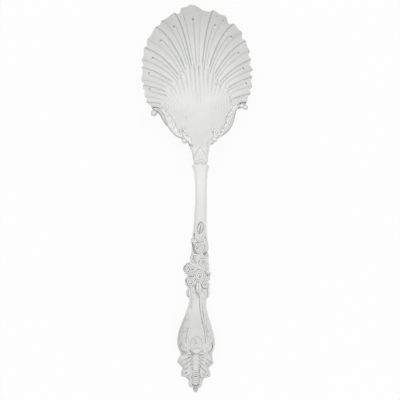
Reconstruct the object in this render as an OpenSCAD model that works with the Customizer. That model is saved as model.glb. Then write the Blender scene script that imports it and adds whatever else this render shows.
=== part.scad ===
// Sugar spoon with a fluted shell bowl and a hollow handle with a spray of roses.
// The spoon lies on its back. X runs across it, Y runs from the handle's end to the
// bowl's tip, Z is up. The origin is under the middle of its length and width, on the
// surface that it lies on.

/* [Bowl] */
// Width of the bowl over its widest flutes
bowl_w = 47.4; // [40:0.2:56]
// Length from the bowl's widest line to its tip
bowl_front_l = 29.3; // [24:0.1:36]
// Length from the bowl's widest line back to the neck
bowl_back_l = 30.8; // [26:0.1:38]
// Depth of the bowl below its rim
bowl_depth = 8.6; // [6:0.1:11]
// Thickness of the struck sheet
sheet_t = 1.1; // [0.8:0.05:1.5]
// Lean of the bowl to the left of the handle, in degrees
bowl_lean = 3.7; // [0:0.1:6]
// Height of a wide flute above the sheet beside it
flute_h = 0.5; // [0.2:0.05:0.8]
// How far a wide flute bulges past the even line of the rim
flute_bulge = 0.7; // [0.2:0.05:1.2]
// Depth of the flat worn under the bowl
wear_flat_d = 0.2; // [0.15:0.01:0.3]

/* [Bowl border] */
// Width of the cast border along the lower edge of the bowl
border_w = 3; // [2:0.1:3.6]
// Height of the border above the sheet
border_h = 0.7; // [0.4:0.05:1.2]
// Diameter of the knob at the lower end of each border
knob_d = 2.7; // [2:0.1:3.4]
// Diameter of the ball at the left border's upper end
ball_d = 2.8; // [2:0.1:3.6]
// Diameter of the volute at the right border's upper end
volute_d = 3.2; // [2.4:0.1:4]

/* [Neck] */
// Width of the neck where it meets the bowl
neck_w = 7.2; // [6:0.1:9]
// Thickness of the neck where it meets the bowl
neck_t = 2.2; // [1.8:0.1:3]
// Length of the neck between the bowl and the handle's mouth
neck_l = 6.9; // [5:0.1:10]
// Width of the neck at the handle's mouth
neck_mouth_w = 5.8; // [5:0.1:6.2]
// Thickness of the neck at the handle's mouth
neck_mouth_t = 3.2; // [2.6:0.1:3.6]
// Length of the calyx leaf on the neck
calyx_l = 6.2; // [4:0.1:6.8]
// Thickness of the calyx leaf
calyx_t = 0.4; // [0.3:0.05:0.6]
// Depth to which the neck sits in the handle's mouth
neck_seat_d = 1.4; // [1:0.1:2]
// Diameter of the tang inside the handle
tang_d = 2.4; // [1.8:0.1:2.8]
// Length of the tang
tang_l = 32; // [24:0.5:44]

/* [Handle] */
// Width of the flared mouth
mouth_w = 7.9; // [7.2:0.1:9]
// Thickness of the flared mouth
mouth_t = 6; // [5.6:0.1:7]
// Length of the collar that forms the mouth
collar_l = 5.1; // [4:0.1:7]
// Length of the handle's half shells
handle_l = 76.5; // [66:0.5:90]
// Width of the handle at its slim part
shank_w = 5.1; // [4.8:0.1:6]
// Thickness of the handle at its slim part
shank_t = 4.8; // [4.6:0.1:5.6]
// Width of the butt at its widest
butt_w = 16.1; // [13:0.1:20]
// Thickness of the butt
butt_t = 5.6; // [4.8:0.1:7]
// Wall of the half shells
wall_t = 0.6; // [0.4:0.05:0.8]
// Height of the arch of the handle above the butt
arch_h = 12.2; // [9:0.1:15]
// How far the handle sways to the left of the neck
sway_w = 2.3; // [0:0.1:3.5]

/* [Spray] */
// Diameter of the largest rose
rose_d = 5.1; // [4:0.1:6]
// Height of a rose above the handle
rose_h = 1.3; // [0.8:0.05:1.8]
// Height of a leaf above the handle
leaf_h = 0.6; // [0.4:0.05:0.9]

/* [End] */
// Length of the fan-shaped shell at the end
end_shell_l = 10; // [8:0.1:13]
// Width of that shell
end_shell_w = 15.6; // [12:0.1:19]
// Thickness of that shell
end_shell_t = 4.2; // [3.2:0.1:4.8]
// Length of the scroll under the shell
end_scroll_l = 4.2; // [3:0.1:6]
// Width of that scroll
end_scroll_w = 6.2; // [5:0.1:8]
// Thickness of that scroll
end_scroll_t = 3; // [2.4:0.1:3.6]
// Diameter of the bead at the tip
bead_d = 2; // [1.6:0.1:2.8]

/* [Hidden] */

silver = [0.86, 0.86, 0.85];
silver_shade = [0.78, 0.78, 0.77];
silver_light = [0.92, 0.92, 0.91];
cement = [0.62, 0.58, 0.52];

// Clearance left for cement or solder where one piece fits round or on another
solder_gap = 0.05;

// Sampling of the curved pieces
ring_n = 24;
arc_n = 14;
sphere_fn = 40;
ball_fn = 24;

// Bowl: half width, the semi-axes of the dish, and the heights of its surface
half_w = bowl_w / 2;
dish_back_share = 0.91;
dish_back = bowl_back_l * dish_back_share;
dish_low_z = sheet_t - wear_flat_d;
// The flutes spread from a root that lies behind the widest line
root_t = -bowl_back_l * 0.69;
// How a flute's line bends: shares of its sideways and lengthways reach
bend_across_share = 0.3;
bend_along_share = 0.83;
// Edges of the flutes as shares of the rim's half sweep. The first is half of the
// middle flute. After it narrow and wide flutes take turns.
rim_sweep = 121;
flute_edge_shares = [0.09, 0.155, 0.275, 0.327, 0.46, 0.517, 0.6, 0.647, 0.732, 0.768, 0.86, 0.89, 1];
// Lower edge: shares of the half width and of the length back to the neck
lower_edge_shares = [
    [0.74, 0.43], [0.67, 0.51], [0.63, 0.6], [0.58, 0.715], [0.465, 0.83], [0.3, 0.9],
    [0.205, 0.965]
];
// Shares of the way from the root to the rim at which the sheet has a ring of points
ring_shares = [0.1, 0.17, 0.23, 0.285, 0.34, 0.42, 0.52, 0.62, 0.72, 0.81, 0.9, 1];

function smooth(s) = let (c = min(1, max(0, s))) c * c * (3 - 2 * c);
function dish_z(r, t) =
    let (b = t > 0 ? bowl_front_l : dish_back)
    dish_low_z + bowl_depth * (pow(r / half_w, 2) + pow(t / b, 2));

// One sample of the rim: place, relief of the flute there, and share of border width.
// Relief is 1 on a wide flute's crown, 0 on its edge and below 0 in a narrow flute.
function rim_sample(share, crown) =
    let (angle = share * rim_sweep)
    let (b = angle < 90 ? bowl_front_l : bowl_back_l * 0.83)
    let (grow = crown * flute_bulge)
    [(half_w + grow - flute_bulge / 2) * sin(angle), (b + grow - flute_bulge) * cos(angle), crown, 0];
wide_steps = [0, 0.25, 0.5, 0.75];
narrow_steps = [0, 0.5];
flute_upper = [
    for (step = [0, 0.5]) rim_sample(flute_edge_shares[0] * step, 1 - step * step),
    for (i = [0 : len(flute_edge_shares) - 2])
        let (from = flute_edge_shares[i], to = flute_edge_shares[i + 1], wide = i % 2 == 1)
        for (step = wide ? wide_steps : narrow_steps)
            rim_sample(from + (to - from) * step, (wide ? 1 : -0.6) * 4 * step * (1 - step))
];
border_width_shares = [0.25, 0.7, 1, 1, 1, 0.9, 0.35];
lower_samples = [
    for (i = [0 : len(lower_edge_shares) - 1])
        let (p = lower_edge_shares[i]) [p.x * half_w, -p.y * bowl_back_l, 0, border_width_shares[i]]
];
neck_samples = [for (share = [1, 0.5]) [neck_w / 2 * share, -bowl_back_l, 0, 0]];
right_half = concat(flute_upper, lower_samples, neck_samples);
left_half = [
    for (i = [len(right_half) - 1 : -1 : 1])
        let (p = right_half[i]) [-p.x, p.y, p[2], p[3]]
];
neck_middle = [[0, -bowl_back_l, 0, 0]];
rim = concat(right_half, neck_middle, left_half);

// Share of the way out at which the sheet ends: short of the edge where a border is
// set. The border widens from a point at its upper end.
function border_share(p) = 1 - border_w * p[3] / norm([p.x, p.y - root_t]);
// A point on a flute's line from the root to the rim sample p
function line_point(p, v) =
    let (dr = p.x, dt = p.y - root_t)
    [
        2 * v * (1 - v) * bend_across_share * dr + v * v * dr,
        root_t + 2 * v * (1 - v) * bend_along_share * dt + v * v * dt
    ];
function sheet_relief(p, v) = flute_h * p[2] * smooth((v - 0.4) / 0.35);
function sheet_point(p, v, drop) =
    let (q = line_point(p, v))
    [q.x, q.y, max(0, dish_z(q.x, q.y) + sheet_relief(p, v) - drop)];

// Where the parts lie along the spoon, before it is centred. The bowl's middle is at 0.
neck_point = [bowl_back_l * sin(bowl_lean), -bowl_back_l * cos(bowl_lean)];
mouth_y = neck_point.y - neck_l;
collar_end_y = mouth_y - collar_l;
handle_end_y = collar_end_y - handle_l;
shell_end_y = handle_end_y - end_shell_l;
scroll_end_y = shell_end_y - end_scroll_l;
tip_y = scroll_end_y - bead_d;
rim_in_place = [
    for (p = rim)
        [p.x * cos(bowl_lean) - p.y * sin(bowl_lean), p.x * sin(bowl_lean) + p.y * cos(bowl_lean)]
];
rim_x = [for (p = rim_in_place) p.x];
rim_y = [for (p = rim_in_place) p.y];
centre_shift = [-(max(rim_x) + min(rim_x)) / 2, -(max(rim_y) + tip_y) / 2, 0];

// Side view of the handle: its middle line climbs from the neck to a crest, then comes
// down in an even S to the butt, which lies on the surface.
neck_z = dish_z(0, -bowl_back_l) - neck_t / 2;
butt_z = butt_t / 2;
crest_z = butt_z + arch_h;
crest_y = mouth_y - (handle_l + collar_l) * 0.16;
low_y = collar_end_y - handle_l * 0.93;
neck_climb_share = 1.25;
function middle_z(y) =
    y > crest_y
        ? let (s = (neck_point.y - y) / (neck_point.y - crest_y))
            neck_z + (crest_z - neck_z) * (neck_climb_share * s + (3 - 2 * neck_climb_share) * s * s
                + (neck_climb_share - 2) * s * s * s)
        : butt_z + (crest_z - butt_z) * (1 - smooth((crest_y - y) / (crest_y - low_y)));
function middle_x(y) =
    neck_point.x - sway_w * pow(min(1.1, max(0, (collar_end_y - y) / (collar_end_y - low_y))), 1.7);

// Half width of the handle as a share of the step from slim part to butt
swell_shares = [
    [0, 0.06], [0.055, 0], [0.167, 0], [0.278, 0.06], [0.417, 0.11], [0.556, 0.12],
    [0.628, 0.2], [0.661, 0.28], [0.689, 0.225], [0.714, 0.225], [0.744, 0.3], [0.78, 0.42],
    [0.811, 0.57], [0.844, 0.76], [0.878, 0.9], [0.917, 0.98], [0.944, 1], [0.972, 0.93],
    [1, 0.73]
];
extra_stations = [0.11, 0.22, 0.35, 0.49];
stations = [
    for (i = [0 : 200])
        let (s = i / 200)
        if (len([for (p = swell_shares) if (abs(p.x - s) < 0.0026) 1]) > 0
            || len([for (e = extra_stations) if (abs(e - s) < 0.0026) 1]) > 0) s
];
function swell(s) = lookup(s, swell_shares);
function handle_y(s) = collar_end_y - s * handle_l;
function handle_half_w(s) = shank_w / 2 + (butt_w - shank_w) / 2 * swell(s);
function handle_half_t(s) = shank_t / 2 + (butt_t - shank_t) / 2 * smooth((s - 0.5) / 0.4);

// A ring of points in the plane of one station
function oval(x, y, z, half_x, half_z) =
    [for (i = [0 : ring_n - 1]) let (a = 360 * i / ring_n) [x + half_x * cos(a), y, z + half_z * sin(a)]];
function handle_oval(s, inset) =
    let (y = handle_y(s))
    oval(middle_x(y), y, middle_z(y), handle_half_w(s) - inset, handle_half_t(s) - inset);
// The section of one half shell: its outer arc and back along its inner arc
function half_section(s, side) =
    let (y = handle_y(s), x = middle_x(y), z = middle_z(y))
    let (w = handle_half_w(s), t = handle_half_t(s))
    concat(
        [for (i = [0 : arc_n]) let (a = 180 * i / arc_n) [x + w * cos(a), y, z + side * t * sin(a)]],
        [
            for (i = [arc_n : -1 : 0])
                let (a = 180 * i / arc_n)
                [x + (w - wall_t) * cos(a), y, z + side * (t - wall_t) * sin(a)]
        ]
    );

// A skin over rings with the same number of points. Its ends are "flat" caps, "thin"
// caps between the two sides of a narrow section, or "joined" to each other.
module loft(rings, ends = "flat") {
    n = len(rings[0]);
    count = len(rings);
    last = ends == "joined" ? count - 1 : count - 2;
    far = (count - 1) * n;
    points = [for (ring = rings) each ring];
    sides = [
        for (j = [0 : last], i = [0 : n - 1])
            let (a = j * n + i, b = j * n + (i + 1) % n)
            let (c = ((j + 1) % count) * n + (i + 1) % n, d = ((j + 1) % count) * n + i)
            each [[a, c, b], [a, d, c]]
    ];
    flat_caps = [[for (i = [0 : n - 1]) i], [for (i = [n - 1 : -1 : 0]) far + i]];
    thin_caps = [
        for (i = [0 : n / 2 - 2])
            let (a = i, b = i + 1, c = n - 2 - i, d = n - 1 - i)
            each [[a, b, c], [a, c, d], [far + a, far + c, far + b], [far + a, far + d, far + c]]
    ];
    caps = ends == "joined" ? [] : ends == "thin" ? thin_caps : flat_caps;
    polyhedron(points, concat(sides, caps));
}

// A closed dish: rings of points round a middle point, above and below
module disc(top_middle, top, base_middle, base) {
    n = len(top[0]);
    count = len(top);
    top_points = concat([top_middle], [for (ring = top) each ring]);
    base_points = concat([base_middle], [for (ring = base) each ring]);
    shift = len(top_points);
    rings = [
        for (j = [0 : count - 2], i = [0 : n - 1])
            let (a = 1 + j * n + i, b = 1 + j * n + (i + 1) % n)
            each [[a, a + n, b + n], [a, b + n, b]]
    ];
    fan = [for (i = [0 : n - 1]) [0, 1 + i, 1 + (i + 1) % n]];
    top_faces = concat(rings, fan);
    base_faces = [for (f = top_faces) [f[2] + shift, f[1] + shift, f[0] + shift]];
    edge = 1 + (count - 1) * n;
    wall = [
        for (i = [0 : n - 1])
            let (a = edge + i, b = edge + (i + 1) % n)
            each [[a, a + shift, b + shift], [a, b + shift, b]]
    ];
    polyhedron(concat(top_points, base_points), concat(top_faces, base_faces, wall));
}

// A closed strip: a grid of points above and one below, joined along all four edges
module strip(top, base) {
    rows = len(top);
    n = len(top[0]);
    loft([for (j = [0 : rows - 1]) concat(base[j], [for (i = [n - 1 : -1 : 0]) top[j][i]])], "thin");
}

module centred() translate(centre_shift) children();
module in_bowl() centred() rotate([0, 0, bowl_lean]) children();

module bowl() color(silver) in_bowl() {
    top = [for (v = ring_shares) [for (p = rim) sheet_point(p, v * border_share(p), 0)]];
    base = [for (v = ring_shares) [for (p = rim) sheet_point(p, v * border_share(p), sheet_t)]];
    low = dish_z(0, root_t);
    disc([0, root_t, low], top, [0, root_t, max(0, low - sheet_t)], base);
}

// Border: a band along the lower edge, set against the sheet's edge, with lobes across it
border_rows = 18;
border_lobes = 8;
lobe_d_share = 0.3;
lobe_fn = 10;
border_across_shares = [0, 0.3, 0.7, 1];
border_crown_shares = [0.6, 1, 0.85, 0.25];
border_end_shares = [0.82, 0.48];
knob_sample = 5;
function lower_at(f) =
    let (k = min(len(lower_samples) - 2, floor(f)), s = f - k)
    [for (j = [0 : 3]) lower_samples[k][j] * (1 - s) + lower_samples[k + 1][j] * s];
function border_section(f, side) =
    let (p = lower_at(f), start = border_share(p) + solder_gap / norm([p.x, p.y - root_t]))
    [
        for (i = [0 : len(border_across_shares) - 1])
            let (q = line_point(p, start + (1 - start) * border_across_shares[i]))
            [side * q.x, q.y, dish_z(q.x, q.y), border_h * border_crown_shares[i]]
    ];
module border_band(side) {
    last = len(lower_samples) - 1;
    sections = [for (i = [0 : border_rows]) border_section(last * i / border_rows, side)];
    top = [for (row = sections) [for (p = row) [p.x, p.y, p.z + p[3]]]];
    base = [for (row = sections) [for (p = row) [p.x, p.y, p.z - sheet_t]]];
    order = side < 0 ? [border_rows : -1 : 0] : [0 : border_rows];
    strip([for (i = order) top[i]], [for (i = order) base[i]]);
}
// A stem from the band's upper end out to the ball or volute
function border_end_place(side) =
    let (r = side * border_end_shares.x * half_w, t = -border_end_shares.y * bowl_back_l)
    [r, t, dish_z(r, t) - sheet_t / 2];
module border_stem(side) {
    start = border_section(0.25, side)[2];
    hull() {
        translate([start.x, start.y, start.z - sheet_t / 2]) sphere(d = sheet_t, $fn = lobe_fn);
        translate(border_end_place(side)) sphere(d = sheet_t, $fn = lobe_fn);
    }
}
module border_lobe(f, side) {
    section = border_section(f, side);
    hull() for (i = [1, 2])
        translate([section[i].x, section[i].y, section[i].z + section[i][3] / 2])
            sphere(d = border_w * lobe_d_share, $fn = lobe_fn);
}
module border(side, end_d) {
    knob = border_section(knob_sample, side)[2];
    border_band(side);
    border_stem(side);
    for (k = [1 : border_lobes]) border_lobe((knob_sample - 0.3) * k / border_lobes, side);
    translate([knob.x, knob.y, knob.z]) sphere(d = knob_d, $fn = ball_fn);
    translate(border_end_place(side)) sphere(d = end_d, $fn = ball_fn);
}
module left_border() color(silver_shade) in_bowl() border(-1, ball_d);
module right_border() color(silver_shade) in_bowl() border(1, volute_d);

// Neck: its section goes from a rounded bar at the bowl to nearly an oval at the mouth
neck_square = 3.6;
neck_round = 2.2;
seat_y = mouth_y - neck_seat_d;
function neck_y(q) = neck_point.y + (seat_y - neck_point.y) * q;
function neck_half_w(q) = (neck_w + (neck_mouth_w - neck_w) * smooth(min(1, 2 * q))) / 2;
function neck_half_t(q) = (neck_t + (neck_mouth_t - neck_t) * smooth(q)) / 2;
function neck_power(q) = neck_square + (neck_round - neck_square) * smooth(q);
function spread(value, power) = sign(value) * pow(abs(value), 2 / power);
function neck_place(q, across, up) =
    let (y = neck_y(q), lean = bowl_lean * (1 - q))
    [middle_x(y) + across * cos(lean), y + across * sin(lean), middle_z(y) + up];
function neck_ring(q) = [
    for (i = [0 : ring_n - 1])
        let (a = 360 * i / ring_n, m = neck_power(q))
        neck_place(q, neck_half_w(q) * spread(cos(a), m), neck_half_t(q) * spread(sin(a), m))
];
tang_end_y = seat_y - tang_l;
function tang_ring(y, gap) = oval(middle_x(y), y, middle_z(y), tang_d / 2 + gap, tang_d / 2 + gap);
tang_steps = [0 : 0.125 : 1];
module shank() color(silver_light) centred()
    loft(concat(
        [for (q = [0, 0.2, 0.4, 0.6, 0.8, 1]) neck_ring(q)],
        [for (s = tang_steps) tang_ring(seat_y - s * tang_l, 0)]
    ));

// Calyx leaf: a pointed leaf that lies on the neck with its tip at the bowl
calyx_rows = 8;
calyx_cover_share = 0.84;
function calyx_place(s, u, lift) =
    let (q = (0.04 + s * calyx_l / neck_l) * neck_l / (neck_l + neck_seat_d))
    let (reach = calyx_cover_share * pow(s, 0.6) * u, m = neck_power(q))
    neck_place(q, neck_half_w(q) * reach,
        neck_half_t(q) * pow(1 - pow(abs(reach), m), 1 / m) + solder_gap + lift * (1 - 0.4 * u * u));
calyx_across = [-1, -0.6, 0, 0.6, 1];
module calyx_leaf() color(silver_shade) centred() {
    rows = [for (i = [0 : calyx_rows]) (i + 0.3) / (calyx_rows + 0.3)];
    strip([for (s = rows) [for (u = calyx_across) calyx_place(s, u, calyx_t)]],
        [for (s = rows) [for (u = calyx_across) calyx_place(s, u, 0)]]);
}

// Collar: flares to the mouth. Its bore takes the neck's end, then only the tang.
collar_flare = [[0, 0.88], [0.18, 1], [0.38, 0.9], [0.65, 0.4], [1, 0]];
function collar_ring(share, flare) =
    let (y = mouth_y - share * collar_l)
    oval(middle_x(y), y, middle_z(y),
        handle_half_w(0) + (mouth_w / 2 - handle_half_w(0)) * flare,
        handle_half_t(0) + (mouth_t / 2 - handle_half_t(0)) * flare);
function seat_ring(y) =
    let (m = neck_round)
    [
        for (i = [0 : ring_n - 1])
            let (a = 360 * i / ring_n)
            [
                middle_x(y) + (neck_half_w(1) + solder_gap) * spread(cos(a), m),
                y,
                middle_z(y) + (neck_half_t(1) + solder_gap) * spread(sin(a), m)
            ]
    ];
module collar() color(silver) centred()
    loft(concat(
        [for (p = collar_flare) collar_ring(p[0], p[1])],
        [tang_ring(collar_end_y, solder_gap), tang_ring(seat_y - solder_gap, solder_gap)],
        [seat_ring(seat_y - solder_gap), seat_ring(mouth_y)]
    ), "joined");

module front_shell() color(silver) centred() loft([for (s = stations) half_section(s, 1)], "thin");
module back_shell() color(silver) centred()
    loft([for (i = [len(stations) - 1 : -1 : 0]) half_section(stations[i], -1)], "thin");

// Cement: fills the shells, with a blind hole for the tang
filler_inset = wall_t + solder_gap;
filler_stations = [for (s = stations) if (s <= 0.972) s];
hole_steps = [1 : -0.125 : 0];
module handle_filler() color(cement) centred() {
    hole_l = collar_end_y - tang_end_y + solder_gap;
    loft(concat(
        [for (s = hole_steps) tang_ring(collar_end_y - s * hole_l, solder_gap)],
        [for (s = filler_stations) handle_oval(s, filler_inset)]
    ));
}

// Spray: what is soldered on lies on the handle's back, and beside it hangs to the seam.
// bed is where such a piece rests, crown is the even surface that its relief rises from.
edge_share = 0.25;
function bed_z(x, y) =
    let (s = (collar_end_y - y) / handle_l, u = (x - middle_x(y)) / handle_half_w(s))
    middle_z(y) + handle_half_t(s) * sqrt(max(0, 1 - u * u)) + solder_gap;
function crown_z(x, y, lift) =
    let (s = (collar_end_y - y) / handle_l, u = (x - middle_x(y)) / handle_half_w(s))
    max(bed_z(x, y), middle_z(y) + handle_half_t(s) * max(0.15, 1 - 0.3 * u * u)) + lift;
// Blossoms: place across in rose diameters, place along as a share of the half shells,
// size as a share of a rose, height as a share of a rose, number of petals
blossom_shares = [
    [0.07, 0.294, 0.58, 0.7, 3], [0, 0.405, 0.9, 1, 5], [0.02, 0.458, 0.42, 0.7, 3],
    [0.62, 0.449, 0.52, 0.7, 4], [-0.5, 0.466, 0.55, 0.6, 4], [0.27, 0.49, 0.62, 0.9, 5],
    [-0.7, 0.521, 0.92, 1, 5], [0.12, 0.556, 0.92, 1, 5], [0.78, 0.537, 0.44, 0.6, 4],
    [-0.7, 0.597, 0.78, 0.9, 5], [0.6, 0.613, 0.56, 0.8, 5]
];
blossom_ring_shares = [0.4, 0.75, 1];
petal_points = 4;
petal_notch_share = 0.14;
module blossom(spec) {
    n = petal_points * spec[4];
    y0 = handle_y(spec[1]);
    x0 = middle_x(y0) + spec[0] * rose_d;
    function edge(a) = rose_d / 2 * spec[2] * (1 - petal_notch_share * (1 - abs(sin(a * spec[4] / 2))));
    function lift(v, a) =
        rose_h * spec[3] * (edge_share + (1 - edge_share) * sqrt(1 - v * v) * (1 - 0.25 * v * abs(cos(a * spec[4] / 2))));
    function place(v, a, up) =
        let (x = x0 + v * edge(a) * cos(a), y = y0 + v * edge(a) * sin(a))
        [x, y, up ? crown_z(x, y, lift(v, a)) : bed_z(x, y)];
    angles = [for (i = [0 : n - 1]) -360 * i / n];
    disc(place(0, 0, true), [for (v = blossom_ring_shares) [for (a = angles) place(v, a, true)]],
        place(0, 0, false), [for (v = blossom_ring_shares) [for (a = angles) place(v, a, false)]]);
}
module rose_blossoms() color(silver_light) centred() for (spec = blossom_shares) blossom(spec);

// Leaves: place across in rose diameters, place along as a share of the half shells,
// length and width in rose diameters, direction of the tip in degrees
leaf_shares = [
    [-0.42, 0.33, 0.66, 0.36, 125], [0.46, 0.347, 0.66, 0.36, 55], [-0.6, 0.372, 0.5, 0.34, 160],
    [0.04, 0.645, 1, 0.48, 268], [-0.86, 0.648, 0.56, 0.36, 200], [0.74, 0.652, 0.56, 0.36, 340]
];
leaf_rows = 6;
leaf_across = [-1, -0.5, 0, 0.5, 1];
module leaf(spec) {
    y0 = handle_y(spec[1]);
    x0 = middle_x(y0) + spec[0] * rose_d;
    long = spec[2] * rose_d;
    half = spec[3] * rose_d / 2;
    function place(s, u, up) =
        let (a = spec[4], along = (s - 0.5) * long, across = u * half * pow(sin(180 * s), 0.8))
        let (x = x0 + along * cos(a) - across * sin(a), y = y0 + along * sin(a) + across * cos(a))
        [x, y, up ? crown_z(x, y, leaf_h * (1 - 0.5 * abs(u))) : bed_z(x, y)];
    rows = [for (i = [0 : leaf_rows]) 0.06 + 0.88 * i / leaf_rows];
    strip([for (s = rows) [for (u = leaf_across) place(s, u, true)]],
        [for (s = rows) [for (u = leaf_across) place(s, u, false)]]);
}
module spray_leaves() color(silver_shade) centred() for (spec = leaf_shares) leaf(spec);

// End pieces: outlines as shares of their own length and half width
end_shell_shares = [
    [0, 0.84], [0.11, 0.94], [0.28, 1], [0.38, 0.98], [0.48, 0.83], [0.56, 0.74], [0.7, 0.8],
    [0.87, 0.81], [0.93, 0.76], [1, 0.5]
];
end_scroll_shares = [[0, 1], [0.3, 0.9], [0.6, 0.98], [0.85, 0.84], [1, 0.5]];
end_ring_n = 48;
rib_count = 7;
rib_share = 0.1;
end_taper_share = 0.3;
function end_ring(top_y, length, w, t, spec, ribs) =
    let (y = top_y - length * spec[0], half = w / 2 * spec[1], z = middle_z(y))
    let (thick = t * (1 - end_taper_share * spec[0]))
    [
        for (i = [0 : end_ring_n - 1])
            let (a = 360 * i / end_ring_n, x = half * cos(a))
            let (rib = ribs * rib_share * thick * max(0, sin(a)) * cos(180 * rib_count * x / half))
            [middle_x(y) + x, y, z + thick / 2 * (1 - rib_share * ribs) * sin(a) + rib]
    ];
module end_shell() color(silver) centred()
    loft([for (p = end_shell_shares) end_ring(handle_end_y, end_shell_l, end_shell_w, end_shell_t, p, 1)]);
module end_scroll() color(silver_shade) centred()
    loft([for (p = end_scroll_shares) end_ring(shell_end_y, end_scroll_l, end_scroll_w, end_scroll_t, p, 0)]);
module end_bead() color(silver_light) centred()
    translate([middle_x(scroll_end_y), scroll_end_y - bead_d / 2, middle_z(scroll_end_y)])
        sphere(d = bead_d, $fn = sphere_fn);

bowl();
left_border();
right_border();
shank();
calyx_leaf();
collar();
front_shell();
back_shell();
handle_filler();
rose_blossoms();
spray_leaves();
end_shell();
end_scroll();
end_bead();
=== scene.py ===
"""Sugar spoon with a fluted shell bowl and a hollow handle that carries a spray of roses.

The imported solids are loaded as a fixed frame. Every solid that shows is replaced by a piece
with the relief of the real spoon: the struck flutes, the cast border, the carved butt and the
petals. Lengths are in millimetres until a mesh is made, and places that were read off the
photograph are given in its pixels.
"""

import logging
import math
from collections.abc import Callable, Iterable, Sequence
from dataclasses import dataclass, field
from enum import Enum

import bmesh
import bpy
import numpy as np
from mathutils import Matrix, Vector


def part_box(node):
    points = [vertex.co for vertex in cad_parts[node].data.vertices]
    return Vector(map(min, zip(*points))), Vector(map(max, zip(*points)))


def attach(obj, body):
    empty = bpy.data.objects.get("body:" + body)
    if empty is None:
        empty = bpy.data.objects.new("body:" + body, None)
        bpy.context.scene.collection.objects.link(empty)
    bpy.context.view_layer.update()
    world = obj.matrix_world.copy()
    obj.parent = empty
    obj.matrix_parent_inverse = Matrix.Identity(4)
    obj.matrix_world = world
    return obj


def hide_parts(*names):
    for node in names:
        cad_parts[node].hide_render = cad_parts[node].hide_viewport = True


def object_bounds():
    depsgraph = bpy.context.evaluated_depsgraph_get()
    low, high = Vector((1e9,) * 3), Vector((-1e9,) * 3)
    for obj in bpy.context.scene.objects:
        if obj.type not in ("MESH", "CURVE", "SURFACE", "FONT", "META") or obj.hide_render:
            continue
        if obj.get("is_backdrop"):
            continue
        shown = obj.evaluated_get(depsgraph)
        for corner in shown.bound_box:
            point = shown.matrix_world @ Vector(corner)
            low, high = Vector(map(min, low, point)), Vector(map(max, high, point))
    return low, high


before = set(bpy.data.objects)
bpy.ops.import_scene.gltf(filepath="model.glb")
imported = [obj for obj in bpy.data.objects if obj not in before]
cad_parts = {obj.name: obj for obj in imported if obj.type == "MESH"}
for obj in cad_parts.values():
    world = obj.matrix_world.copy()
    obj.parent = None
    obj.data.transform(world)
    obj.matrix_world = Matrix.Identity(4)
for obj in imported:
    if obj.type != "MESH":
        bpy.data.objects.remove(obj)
CAD_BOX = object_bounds()

LOG = logging.getLogger("sugar_spoon")
MM = 0.001
BODY = "root"
SHARP_ANGLE = math.radians(58)

# The photograph's scale and the pixel over the origin of the frame
MM_PER_PIXEL = 0.425
ORIGIN_PIXEL = (197.25, 199.0)

Array = np.ndarray
Pair = tuple[float, float]
Pixels = Sequence[Pair]
# Rows of an outline in pixels: height in the picture, left edge, right edge
Edges = Sequence[tuple[float, float, float]]
Surface = Callable[[Array], Array]
Faces = list[tuple[int, ...]]
Material = bpy.types.Material
Socket = bpy.types.NodeSocket

# A distance in millimetres at which no line marks the metal any more
FAR = 9.0


def photo(pixels: Pixels | Array) -> Array:
    """Turns pixels of the photograph, with y downwards, into x and y of the frame in millimetres."""
    return (np.asarray(pixels, float) - ORIGIN_PIXEL) * (MM_PER_PIXEL, -MM_PER_PIXEL)


def corners(node: str) -> tuple[Array, Array]:
    """Gives the lowest and the highest corner of a solid of the frame, in millimetres."""
    low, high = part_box(node)
    return np.array(low) / MM, np.array(high) / MM


def smooth(share: Array | float) -> Array:
    """Cuts a share to the range from 0 to 1 and eases it."""
    cut = np.clip(share, 0.0, 1.0)
    return cut * cut * (3.0 - 2.0 * cut)


def squared(wave: Array, power: Array | float) -> Array:
    """Raises a sine or a cosine to a power and keeps its sign, which squares a round section."""
    return np.sign(wave) * np.abs(wave) ** power


def taper(count: int, least: float, slope: float) -> Array:
    """Gives a row of shares that climb from both ends to 1, from least and by slope over the row."""
    return np.minimum(1, least + slope * np.minimum(np.linspace(0, 1, count), np.linspace(1, 0, count)))


def rotated(pairs: Array, angle: float) -> Array:
    """Turns pairs of coordinates counter-clockwise about the origin.

    Args:
        pairs: The pairs.
        angle: The angle in radians.

    Returns:
        The turned pairs.
    """
    cos, sin = math.cos(angle), math.sin(angle)
    x, y = pairs[..., 0], pairs[..., 1]
    return np.stack([x * cos - y * sin, x * sin + y * cos], -1)


def outline(edges: Edges, y: Array) -> tuple[Array, Array]:
    """Gives the middle and half the width of an outline.

    Args:
        edges: The outline in pixels.
        y: Places along the spoon.

    Returns:
        The middle and half the width at each place.
    """
    table = np.array(edges)
    left, right = (photo(table[:, [side, 0]]) for side in (1, 2))
    x0, x1 = (np.interp(-y, -side[:, 1], side[:, 0]) for side in (left, right))
    return (x0 + x1) / 2, (x1 - x0) / 2


def spline(points: Sequence | Array, count: int) -> Array:
    """Runs an even curve through points.

    Args:
        points: The points that the curve passes.
        count: How many samples to return.

    Returns:
        The samples, spread evenly over the steps between the points.
    """
    given = np.asarray(points, float)
    held = np.vstack([2 * given[0] - given[1], given, 2 * given[-1] - given[-2]])
    place = np.linspace(0, len(given) - 1, count)
    step = np.minimum(place.astype(int), len(given) - 2)
    s = (place - step)[:, None]
    a, b, c, d = (held[step + k] for k in range(4))
    return 0.5 * (2 * b + (c - a) * s + (2 * a - 5 * b + 4 * c - d) * s**2 + (3 * b - a - 3 * c + d) * s**3)


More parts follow.
